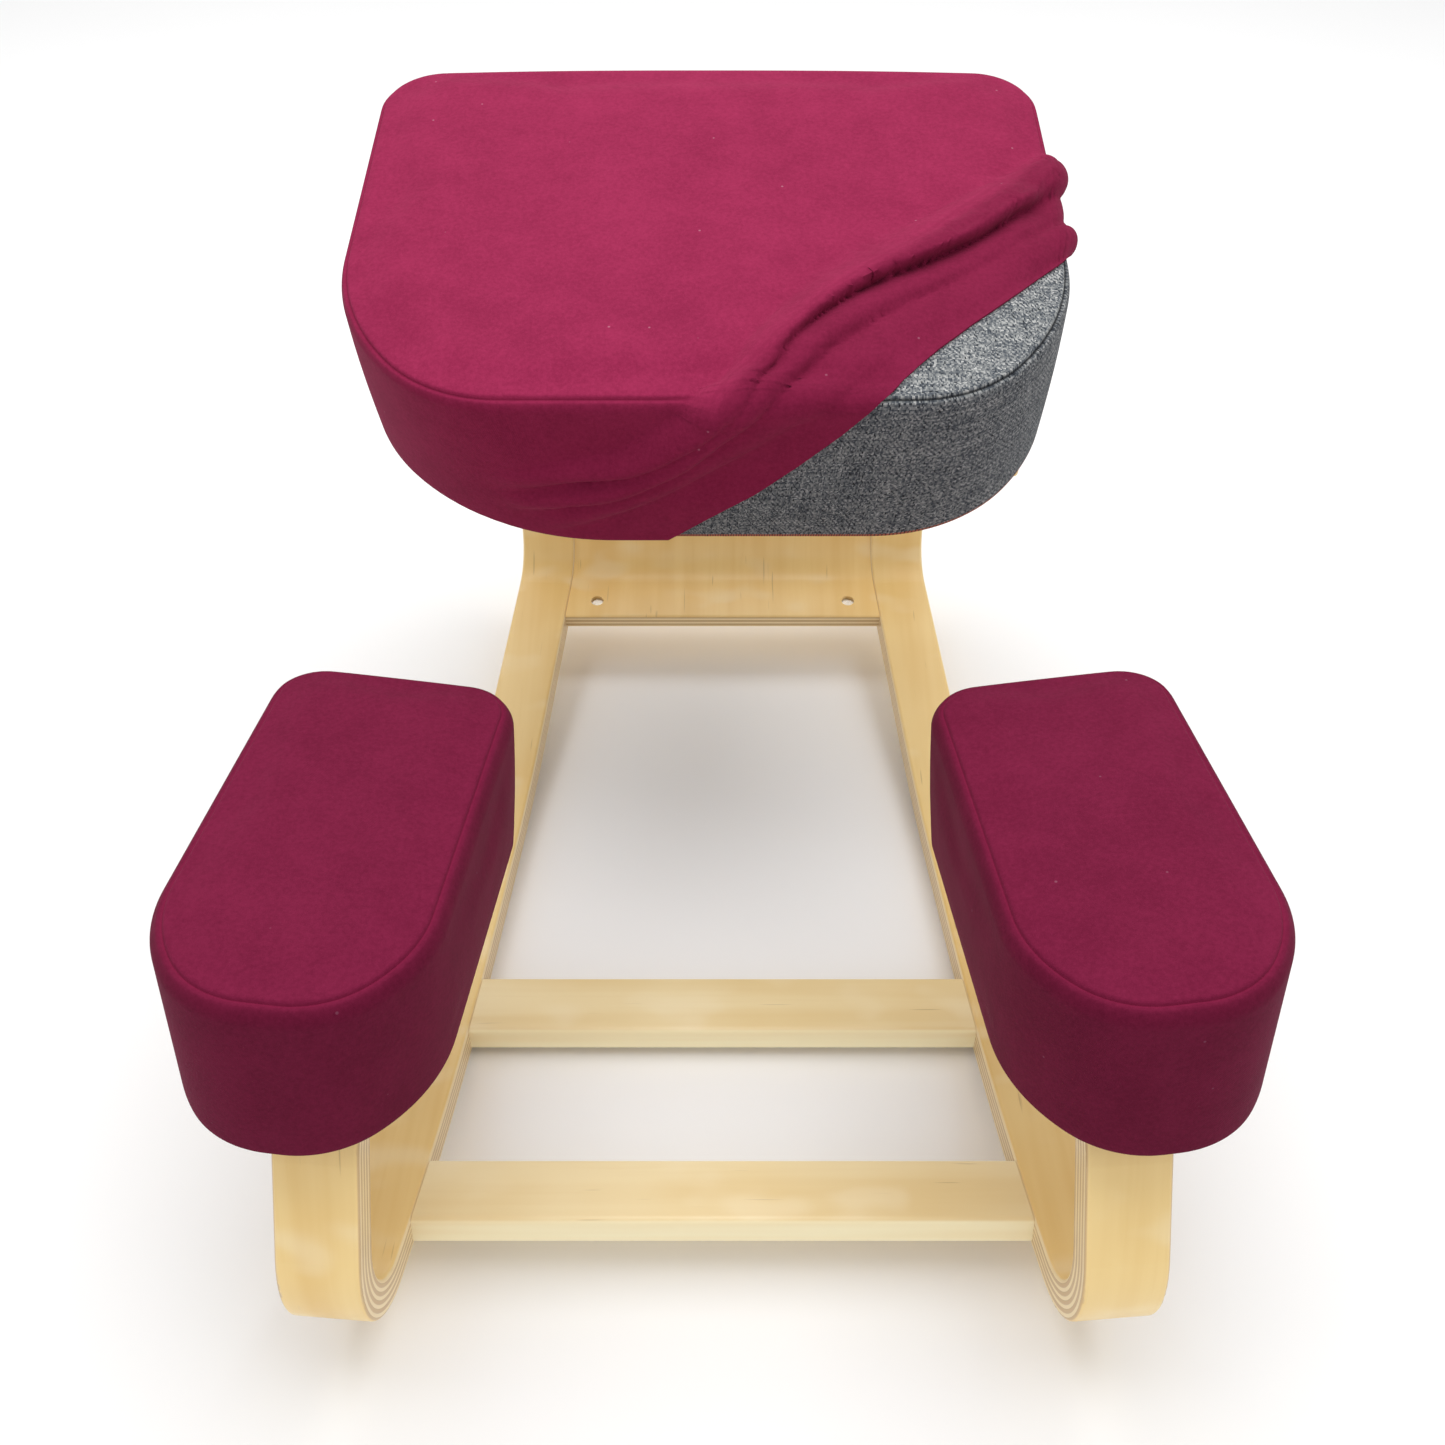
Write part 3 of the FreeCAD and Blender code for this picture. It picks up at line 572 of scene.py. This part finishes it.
def shellRings(pad, inset, mouth, low, sewn=1.0):
    # (inset, height, zone, distance from the seam), from the turned-under edge over to the middle;
    # sewn 0 leaves the seam's groove out
    top = pad["height"] - inset
    bend = pad["edgeRound"] - inset * 0.6
    foot = footRound
    seam = math.radians(pad["seamAt"])
    ceiling = top - bend
    rise = ceiling - low - foot
    rings = []
    for i in range(5):
        rings.append((mouth + (inset + foot - mouth) * i / 4, low, "under", -rise - 60 + i * 10))
    for i in range(1, 4):
        t = math.pi / 2 * i / 4
        rings.append((inset + foot * (1 - math.sin(t)), low + foot * (1 - math.cos(t)), "side", -rise - bend))
    rows = 22
    for i in range(rows + 1):
        height = low + foot + rise * i / rows
        rings.append((inset, height, "side", height - ceiling - bend * seam))
    steps = 20
    for i in range(1, steps + 1):
        t = math.pi / 2 * i / steps
        away = (t - seam) * bend
        proud = -seamGroove["deep"] * math.exp(-(away / seamGroove["wide"]) ** 2)
        for at, rim in seamGroove["lips"]:
            proud += rim * math.exp(-((away - at) / seamGroove["lipWide"]) ** 2)
        radius = bend + proud * sewn
        rings.append((inset + bend - radius * math.cos(t), ceiling + radius * math.sin(t),
                      "side" if t <= seam else "top", away))
    reach = min(pad["width"], pad["length"]) / 2
    flatFrom = bend * (math.pi / 2 - seam)
    for d in topSteps:
        if inset + bend + d < reach - 6:
            rings.append((inset + bend + d, top, "top", flatFrom + d))
    rings.append((middleInset, top, "top", reach))
    return rings


def ringPoints(pad, plans, inset, height):
    # true offset near the edge, then drawn towards the middle; the plan widens from foot to top
    share = min(max(height / pad["height"], 0.0), 1.0)
    top, topOut, foot, footOut = plans
    plan = foot + (top - foot) * share
    outward = footOut + (topOut - footOut) * share
    outward /= np.linalg.norm(outward, axis=1)[:, None]
    middle = np.array((0.0, pad["length"] * 0.5))
    reach = min(pad["width"], pad["length"]) / 2
    near = min(inset, trueOffset)
    spots = plan - outward * near
    if inset > near:
        spots = middle + (spots - middle) * max(0.0, 1 - (inset - near) / (reach - near))
    return spots


def rolledShell(name, pad, rings, around=None):
    # a grid rolled round the plan: columns run round it, rows over the profile
    around = around or pad["around"]
    rows = len(rings) - 1
    emptyHands()
    bpy.ops.mesh.primitive_grid_add(x_subdivisions=around, y_subdivisions=rows, size=1)
    piece = bpy.context.object
    piece.name = name
    mesh = piece.data
    flat = points(piece)
    column = np.rint((flat[:, 0] + 0.5) * around).astype(int)
    row = np.rint((flat[:, 1] + 0.5) * rows).astype(int)
    plans, reach = planOf(pad, around)
    grid = np.zeros((rows + 1, around + 1, 3))
    for j, (inset, height, zone, away) in enumerate(rings):
        grid[j, :, :2] = ringPoints(pad, plans, inset, height)
        grid[j, :, 2] = height
    place = grid[row, column]
    setPoints(piece, place * mm)
    corner = np.zeros(len(mesh.loops), int)
    mesh.loops.foreach_get("vertex_index", corner)
    face = np.repeat(np.arange(len(mesh.polygons)), 4)
    highest = np.zeros(len(mesh.polygons), int)
    np.maximum.at(highest, face, row[corner])
    zones = [ring[2] for ring in rings]
    onTop = np.array([zone == "top" for zone in zones])[highest[face]]
    under = np.array([zone == "under" for zone in zones])[highest[face]]
    u = np.where(onTop, place[corner, 0], reach[column[corner]])
    v = np.where(onTop, place[corner, 1] + mapShift["top"], place[corner, 2])
    inwards = np.array([min(ring[0], mapShift["top"]) for ring in rings])[row[corner]]
    v = np.where(under, mapShift["under"] - inwards, v)
    weave = mesh.uv_layers[0]
    weave.name = "cloth"
    weave.data.foreach_set("uv", (np.column_stack([u, v]) * mm).ravel())
    seam = mesh.uv_layers.new(name="seam")
    away = np.array([ring[3] for ring in rings])[row[corner]]
    seam.data.foreach_set("uv", (np.column_stack([reach[column[corner]], away]) * mm).ravel())
    inHand(piece)
    bpy.ops.object.mode_set(mode="EDIT")
    bpy.ops.mesh.select_all(action="SELECT")
    bpy.ops.mesh.remove_doubles(threshold=0.00001)
    bpy.ops.mesh.normals_make_consistent(inside=False)
    bpy.ops.object.mode_set(mode="OBJECT")
    return piece


def points(piece):
    flat = np.zeros(len(piece.data.vertices) * 3)
    piece.data.vertices.foreach_get("co", flat)
    return flat.reshape(-1, 3)


def directions(piece):
    flat = np.zeros(len(piece.data.vertices) * 3)
    piece.data.vertices.foreach_get("normal", flat)
    return flat.reshape(-1, 3)


def setPoints(piece, place):
    piece.data.vertices.foreach_set("co", np.ascontiguousarray(place).ravel())
    piece.data.update()


def treeOf(spots):
    tree = KDTree(len(spots))
    for i, spot in enumerate(spots):
        tree.insert(spot, i)
    tree.balance()
    return tree


def applyAll(piece):
    inHand(piece)
    for modifier in list(piece.modifiers):
        bpy.ops.object.modifier_apply(modifier=modifier.name)


def swelling(pad, label):
    # inflates a closed copy of the pad and gives how far each spot swelled
    closing = [(inset, 0.0, "under", 0.0) for inset in (middleInset, 60, 40)]
    rings = closing + shellRings(pad, pad["start"], inflating["mouth"], 0.0)
    cage = rolledShell(label + "_cage", pad, rings, inflating["columns"])
    remesh = cage.modifiers.new("even", "REMESH")
    remesh.mode = "VOXEL"
    remesh.voxel_size = pad["voxel"] * mm
    applyAll(cage)
    rest, outward = points(cage), directions(cage)
    held = cage.vertex_groups.new(name="held")
    held.add([i for i, spot in enumerate(rest) if spot[2] < inflating["heldBelow"] * mm], 1.0, "REPLACE")
    air = cage.modifiers.new("air", "CLOTH")
    air.settings.quality = inflating["quality"]
    air.settings.use_pressure = True
    air.settings.uniform_pressure_force = pad["pressure"]
    air.settings.vertex_group_mass = "held"
    air.settings.effector_weights.gravity = 0
    scene = bpy.context.scene
    for number in range(inflating["frames"]):
        scene.frame_set(number + 1)
    applyAll(cage)
    # the foam holds the cloth out, so only the swelling counts
    swelled = np.maximum(((points(cage) - rest) * outward).sum(axis=1), 0)
    scene.frame_set(1)
    most, mean = swelled.max() / mm, swelled.mean() / mm
    print(label, "swelled by at most", round(most, 1), "mm, mean", round(mean, 1))
    moved = outward * np.minimum(swelled * pad["firm"], pad["cap"] * mm)[:, None]
    bpy.data.objects.remove(cage)
    return treeOf(rest), moved


def swell(piece, pad, field):
    # moves a piece's points as the inflated copy swelled, then crowns the top and rounds the sides
    place = points(piece)
    out = place.copy()
    if field is not None:
        tree, moved = field
        for i, spot in enumerate(place):
            total, weight = np.zeros(3), 0.0
            for near, index, distance in tree.find_n(spot, fieldNear):
                share = 1 / (distance + fieldSoft) ** 2
                total += moved[index] * share
                weight += share
            out[i] += total / weight
    x = place[:, 0] / (pad["width"] / 2 * mm)
    y = place[:, 1] / (pad["length"] * mm)
    rise = np.clip(place[:, 2] / (pad["height"] * mm), 0, 1)
    middle = np.clip(1 - np.abs(x) ** 2.6, 0, 1)
    dome = middle * np.clip(1 - np.abs(y * 2 - 1) ** 2.6, 0, 1)
    full = pad["crown"] * (1.0 if field is None else besideSwelling)
    rear = pad["rearCrown"] * (0.35 + 0.65 * middle) * np.clip(y, 0, 1) ** 1.5
    out[:, 2] += (full * dome + rear) * rise ** 3 * mm
    bulge = np.sin(np.pi * rise) * pad["sideBulge"] * mm
    out[:, 0] += np.sign(x) * np.clip(np.abs(x) * 6 - 5, 0, 1) * bulge
    out[:, 1] += np.clip(y * 12 - 11, 0, 1) * bulge
    setPoints(piece, out)


def wall(piece, thick):
    layer = piece.modifiers.new("wall", "SOLIDIFY")
    layer.thickness = thick * mm
    layer.offset = -1
    applyAll(piece)


def smoothFaces(piece, angle=60):
    inHand(piece)
    bpy.ops.object.shade_smooth_by_angle(angle=math.radians(angle))


# Slipcover pulled up off one front corner: hem and gathered ridges, in the seat's own frame, mm
pulled = {
    "hemFront": (97.0, 0.0, 104.6),
    "hemSide": (215.5, 126.0, 104.6),
    "dip": math.radians(50.0),
    # way along the hem, how far it bows off its plane
    "bow": [(-300, 0), (-90, 0), (-67, -2.5), (-49, -5), (-31, -4.5), (-15, -2.5), (0, 1.5), (20, 4.5),
            (47, 6.5), (80, 6), (109, 5), (145, 3.5), (174, 2.5), (200, 0), (300, 0)],
    "fine": (-9, 92),            # finer faces between these distances from the hem plane
    "margin": 10,                # shaped as well beyond the finer faces
    "cuts": 1,
    "around": 360,               # columns of the cover's shell
    "lineSteps": 30, "lineTurns": 24,               # points between two stops, rounds of smoothing
    "blur": {"facing": 5.5, "ridges": 2.4, "creases": 1.3},
    "unsewOver": 10,             # the seam's groove fades within this distance
    # x, y, z, half width above, half width below, height, lean towards the hem
    "ridges": [
        [(-125, 0, 40, 5, 5, 0.2, 0), (-82, 0, 52, 7, 5, 5, 0), (-45, 0, 61, 8, 6, 9.5, 2),
         (-14, 0, 82, 9, 7, 11.5, 4), (6, 0, 101, 10, 7, 12, 5), (18, 8, 106, 10, 7, 12.5, 6),
         (41, 46, 106, 11, 7, 13, 8), (64, 75, 106, 12, 8, 14, 10), (88, 98, 106, 14, 9, 15.5, 13),
         (116, 118, 106, 17, 10, 16.5, 15), (150, 142, 106, 19, 11, 16, 14),
         (180, 172, 106, 17, 10, 14.5, 11), (202, 197, 106, 16, 12, 12, 4), (214, 216, 101, 13, 11, 10, 2),
         (217, 242, 76, 11, 10, 7, 1), (217, 276, 40, 10, 9, 3.5, 0), (217, 300, 12, 8, 8, 0.5, 0)],
        [(-125, 0, 20, 6, 5, 0.2, 0), (-84, 0, 33, 7, 5, 5.5, 0), (-50, 0, 44, 8, 6, 9, 1),
         (-18, 0, 64, 9, 7, 10, 2.5), (8, 0, 90, 10, 8, 10, 3), (28, 6, 105, 11, 8, 9.8, 3.5),
         (52, 34, 106, 12, 9, 9.5, 4), (78, 60, 106, 13, 10, 9.2, 4), (106, 82, 106, 13, 10, 8, 3.5),
         (136, 100, 106, 12, 9, 7, 3), (162, 120, 106, 11, 9, 7, 2), (188, 146, 106, 11, 9, 5.5, 2),
         (208, 172, 106, 11, 9, 3.5, 1), (216, 192, 96, 10, 9, 2.5, 0), (217, 224, 62, 9, 8, 1.5, 0),
         (217, 256, 26, 8, 8, 0.5, 0)],
        [(-100, 0, 8, 6, 6, 0.2, 0), (-60, 0, 27, 7, 6, 5, 0), (-22, 0, 50, 8, 8, 6, 0.5),
         (12, 0, 76, 9, 10, 5.4, 1), (48, 4, 104, 10, 12, 4.2, 0.5), (84, 36, 106, 12, 14, 3.4, 0),
         (118, 64, 106, 12, 14, 3.4, 0), (152, 92, 106, 12, 14, 3.8, 0), (182, 120, 106, 11, 12, 5, 0.5),
         (206, 142, 106, 10, 10, 7, 1), (216, 158, 94, 9, 9, 7, 0), (217, 190, 58, 8, 8, 3.5, 0),
         (217, 225, 22, 7, 7, 1, 0)],
    ],
    # way along the hem, how far above its plane the seam runs
    "seamAbove": [(-300, 60), (-110, 58), (-77, 54), (-51, 56), (-20, 61), (30, 66), (70, 65.5), (111, 63),
                  (157, 61), (200, 59), (232, 57), (300, 55)],
    # x, y, z, half width, depth
    "creases": [
        [(60, 92, 106, 2.5, 0.2), (90, 116, 106, 3.2, 1.5), (120, 134, 106, 3.2, 1.8),
         (150, 158, 106, 3, 1.4), (178, 186, 106, 2.5, 0.4)],
        [(96, 104, 106, 2.5, 0.2), (124, 124, 106, 3, 1.6), (154, 150, 106, 3, 1.8), (184, 182, 106, 3, 1.4),
         (204, 208, 106, 2.5, 0.6)],
        [(132, 118, 106, 2.5, 0.2), (158, 140, 106, 3, 1.6), (186, 170, 106, 3, 1.6),
         (208, 198, 105, 2.5, 0.8)],
        [(168, 196, 106, 2.5, 0.2), (186, 206, 106, 3, 1.6), (206, 219, 105, 3, 2.0), (216, 236, 84, 3, 1.0)],
        [(176, 128, 106, 2.5, 0.2), (196, 144, 106, 3, 1.2), (213, 160, 101, 3, 1.4), (217, 182, 76, 3, 0.6)],
    ],
}


def hemPlane():
    front = np.array(pulled["hemFront"])
    side = np.array(pulled["hemSide"])
    line = (side - front) / np.linalg.norm(side - front)
    rearward = np.array((-line[1], line[0], 0.0))
    normal = rearward * math.sin(pulled["dip"]) + np.array((0, 0, 1.0)) * math.cos(pulled["dip"])
    return front * mm, line, normal


def ridgeLine(stops, surface, skin):
    # dense smooth points of a ridge or crease laid on the cover
    stops = np.array(stops, float)
    stops[:, :3] *= mm
    dense = []
    for i in range(len(stops) - 1):
        a, b = stops[max(i - 1, 0)], stops[i]
        c, d = stops[i + 1], stops[min(i + 2, len(stops) - 1)]
        for t in np.linspace(0, 1, pulled["lineSteps"], endpoint=False):
            dense.append(0.5 * (2 * b + (c - a) * t + (2 * a - 5 * b + 4 * c - d) * t * t
                                + (3 * b - a - 3 * c + d) * t ** 3))
    dense = np.array(dense)
    for i, spot in enumerate(dense):
        dense[i, :3] = skin[surface.find(spot[:3])[1]]
    for turn in range(pulled["lineTurns"]):
        dense[1:-1] = (dense[:-2] + dense[1:-1] * 2 + dense[2:]) / 4
    return dense


def besideRidge(line, place, normals, near):
    # nearest point of the line, distance, and which side of it each point is on
    run = np.gradient(line[:, :3], axis=0)
    run /= np.linalg.norm(run, axis=1)[:, None]
    tree = treeOf(line[:, :3])
    found = [tree.find(place[i]) for i in near]
    at = np.array([hit[1] for hit in found])
    gap = np.array([hit[2] for hit in found])
    side = np.cross(run[at], normals[near])
    side /= np.maximum(np.linalg.norm(side, axis=1), 1e-9)[:, None]
    across = ((place[near] - line[at, :3]) * side).sum(axis=1)   # positive towards the hem
    return at, gap, side, across


def averaged(values, place, near, reach):
    # each near point's value averaged with its neighbours' within reach, the closest counting most
    tree = treeOf(place[near])
    own = values[near]
    result = np.zeros_like(values)
    for i, spot in enumerate(place[near]):
        found = tree.find_range(spot, reach)
        weight = np.array([1.05 - hit[2] / reach for hit in found])
        result[near[i]] = weight @ own[[hit[1] for hit in found]] / weight.sum()
    return result


def raiseRidges(piece):
    # lifts the folds off the cover and leans them towards the hem, then presses the creases in
    place, normals = points(piece), directions(piece)
    surface = treeOf(place)
    start, line, normal = hemPlane()
    above = (place - start) @ normal
    low, high = pulled["fine"]
    near = np.where((above > low * mm) & (above < (high + pulled["margin"]) * mm))[0]
    blur = pulled["blur"]
    normals = averaged(normals, place, near, blur["facing"] * mm)
    normals /= np.maximum(np.linalg.norm(normals, axis=1), 1e-9)[:, None]
    tall = np.zeros(len(place))
    sway = np.zeros_like(place)
    for stops in pulled["ridges"]:
        ridge = ridgeLine(stops, surface, place)
        at, gap, side, across = besideRidge(ridge, place, normals, near)
        half = np.where(across < 0, ridge[at, 3], ridge[at, 4]) * mm
        share = np.clip(1 - (gap / (half * 1.2)) ** 2, 0, 1)
        lift = (0.75 * share ** 0.55 + 0.25 * share ** 2) * ridge[at, 5] * mm
        higher = lift > tall[near]
        spots = near[higher]
        tall[spots] = lift[higher]
        sway[spots] = side[higher] * (ridge[at, 6] * mm * share)[higher][:, None]
    shift = averaged(normals * tall[:, None] + sway, place, near, blur["ridges"] * mm)
    sunk = np.zeros(len(place))
    for stops in pulled["creases"]:
        crease = ridgeLine([(*stop, 0, 0) for stop in stops], surface, place)
        at, gap = besideRidge(crease, place, normals, near)[:2]
        depth = crease[at, 4] * mm * np.exp(-(gap / (crease[at, 3] * mm * 0.7)) ** 2)
        sunk[near] = np.maximum(sunk[near], depth)
    sunk = np.minimum(sunk, np.maximum(np.linalg.norm(shift, axis=1) - 0.0005, 0))
    setPoints(piece, place + averaged(shift - normals * sunk[:, None], place, near, blur["creases"] * mm))


def beyondSeam(place):
    # how far each point is above the line that the drawn-up seam follows
    start, line, normal = hemPlane()
    stops = np.array(pulled["seamAbove"], float) * mm
    return (place - start) @ normal - np.interp((place - start) @ line, stops[:, 0], stops[:, 1])


def unsew(piece, plain):
    # takes the seam's groove off the edge where the band is drawn up
    place, smooth = points(piece), points(plain)
    share = np.clip(1 - beyondSeam(smooth) / (pulled["unsewOver"] * mm), 0, 1)[:, None]
    setPoints(piece, place + (smooth - place) * share)
    bpy.data.objects.remove(plain)


def pullSeam(piece):
    # the side band is drawn up beside the hem: in the seam map the seam leaves the cushion's edge and follows
    # the folds, and the painted side-band shade and painted seam shadow move with it
    beyond = beyondSeam(points(piece))
    corner = np.zeros(len(piece.data.loops), int)
    piece.data.loops.foreach_get("vertex_index", corner)
    layer = piece.data.uv_layers["seam"]
    flat = np.zeros(len(corner) * 2)
    layer.data.foreach_get("uv", flat)
    flat = flat.reshape(-1, 2)
    flat[:, 1] = np.minimum(flat[:, 1], beyond[corner])
    layer.data.foreach_set("uv", flat.ravel())


def finer(piece, low, high, cuts):
    # smaller faces between two distances from the hem plane
    start, line, normal = hemPlane()
    middles = np.zeros(len(piece.data.polygons) * 3)
    piece.data.polygons.foreach_get("center", middles)
    off = (middles.reshape(-1, 3) - start) @ normal
    inHand(piece)
    bpy.ops.object.mode_set(mode="EDIT")
    bpy.ops.mesh.select_mode(type="FACE")
    bpy.ops.mesh.select_all(action="DESELECT")
    bpy.ops.object.mode_set(mode="OBJECT")
    piece.data.polygons.foreach_set("select", (off > low * mm) & (off < high * mm))
    bpy.ops.object.mode_set(mode="EDIT")
    bpy.ops.mesh.subdivide(number_cuts=cuts)
    bpy.ops.object.mode_set(mode="OBJECT")


def bowed(piece, way):
    # bends the cover along the hem's normal, or back again
    start, line, normal = hemPlane()
    place = points(piece)
    along = (place - start) @ line
    stops = np.array(pulled["bow"], float) * mm
    off = np.interp(along, stops[:, 0], stops[:, 1])
    setPoints(piece, place + normal * (off * way)[:, None])


def cutHem(piece):
    start, line, normal = hemPlane()
    bowed(piece, -1)
    inHand(piece)
    bpy.ops.object.mode_set(mode="EDIT")
    bpy.ops.mesh.select_all(action="SELECT")
    bpy.ops.mesh.bisect(plane_co=start, plane_no=normal, clear_inner=True)
    bpy.ops.object.mode_set(mode="OBJECT")
    bowed(piece, 1)


def flatArea(piece):
    return sum(face.area for face in piece.data.polygons)


def settle(piece, pad, mirrored=False):
    piece.data.transform(pad["place"])
    if mirrored:
        piece.data.transform(Matrix.Scale(-1, 4, (1, 0, 0)))
        piece.data.flip_normals()
    piece.data.update()
    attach(piece, body)


def coverRings(pad, sewn=1.0):
    return shellRings(pad, 0.0, clothLayer["coverUnder"], clothLayer["coverLow"], sewn)


def makeCushion(name, pad, field, mirrored):
    layer = clothLayer
    rings = shellRings(pad, layer["fixedIn"], layer["fixedIn"] + layer["fixedUnder"], layer["fixedLow"])
    cushion = rolledShell(name, pad, rings)
    swell(cushion, pad, field)
    wall(cushion, layer["fixed"])
    smoothFaces(cushion)
    settle(cushion, pad, mirrored)
    cloths["grey"].put(cushion)
    return cushion


def makeLining(name, pad, mirrored):
    # flat dust cover inside the turned-under cloth
    edge = clothLayer["fixedIn"] + clothLayer["fixedUnder"] + liningPlan["clear"]
    reach = min(pad["width"], pad["length"]) / 2 - 4
    steps = [d for d in liningPlan["steps"] if edge + d < reach] + [middleInset]
    rings = [(edge + d, liningPlan["height"], "under", d) for d in reversed(steps)]
    sheet = rolledShell(name, pad, rings, liningPlan["columns"])
    cloth = flatArea(sheet)
    wall(sheet, liningPlan["thick"])
    smoothFaces(sheet)
    settle(sheet, pad, mirrored)
    cloths["black"].put(sheet)
    width, length = (pad["width"] - 2 * edge) * mm, (pad["length"] - 2 * edge) * mm
    min(cloth, width * length)
    return sheet


def makeSeat():
    pad = seatPad
    field = swelling(pad, "seat")
    cushion = makeCushion("seat_cushion", pad, field, False)
    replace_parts(cushion, "seat_upholstery", "seat_foam")
    cover, plain = [rolledShell(name, pad, coverRings(pad, sewn), pulled["around"])
                    for name, sewn in (("seat_cover", 1.0), ("plain_cover", 0.0))]
    unsew(cover, plain)
    swell(cover, pad, field)
    finer(cover, *pulled["fine"], pulled["cuts"])
    pullSeam(cover)
    raiseRidges(cover)
    cutHem(cover)
    wall(cover, clothLayer["cover"])
    smoothFaces(cover, 75)
    settle(cover, pad)
    cloths["maroon"].put(cover)
    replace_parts(cover, "seat_slipcover")
    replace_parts(makeLining("seat_lining", pad, False), "seat_dust_cover")


def makeKneePads():
    pad = kneePad
    field = swelling(pad, "knee")
    for side in ("right", "left"):
        mirrored = side == "left"
        cushion = makeCushion(side + "_knee_cushion", pad, field, mirrored)
        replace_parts(cushion, side + "_knee_upholstery", side + "_knee_foam")
        cover = rolledShell(side + "_knee_cover", pad, coverRings(pad))
        swell(cover, pad, field)
        wall(cover, clothLayer["cover"])
        smoothFaces(cover)
        settle(cover, pad, mirrored)
        cloths["kneeMaroonShaded"].put(cover)
        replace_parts(cover, side + "_knee_slipcover")
        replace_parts(makeLining(side + "_knee_lining", pad, mirrored), side + "_knee_dust_cover")


def dressFrame():
    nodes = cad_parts
    rail = birch("birch_rail", birchTones["rail"], (1.0, 0.05, 0.05), sideways, railDepth)
    bar = birch("birch_bar", birchTones["bar"], (0.04, 1.0, 1.0), lengthways)
    rear = birch("birch_panel", birchTones["panel"], (1.0, 0.06, 0.06), footwards, panelDepth)
    board = birch("board_ply", birchTones["panel"], (1.0, 0.06, 1.0))
    peg = birch("dowel_birch", birchTones["bar"], (0.06, 1.0, 1.0))
    metal = steel()
    rail.put(nodes["left_rail"], nodes["right_rail"])
    bar.put(nodes["front_crossbar"], nodes["middle_crossbar"])
    rear.put(nodes["rear_cross_panel"])
    for name, node in nodes.items():
        if name.endswith("_board"):
            board.put(node)
        elif name.endswith("_pins"):
            peg.put(node)
        elif name.endswith(("_bolts", "_washers", "_tnuts", "_cross_dowels")):
            metal.put(node)


setUpStudio()
print("studio ready")
dressFrame()
print("frame dressed")
cloths = {
    "maroon": jersey("maroon_jersey", 1.0),
    # the knee covers: a copy of the jersey painted darker, as painted shade
    "kneeMaroonShaded": jersey("maroon_jersey_knees", 0.59),
    "grey": greyWeave(),
    "black": lining(),
}
makeSeat()
print("seat made")
makeKneePads()
print("knee pads made")
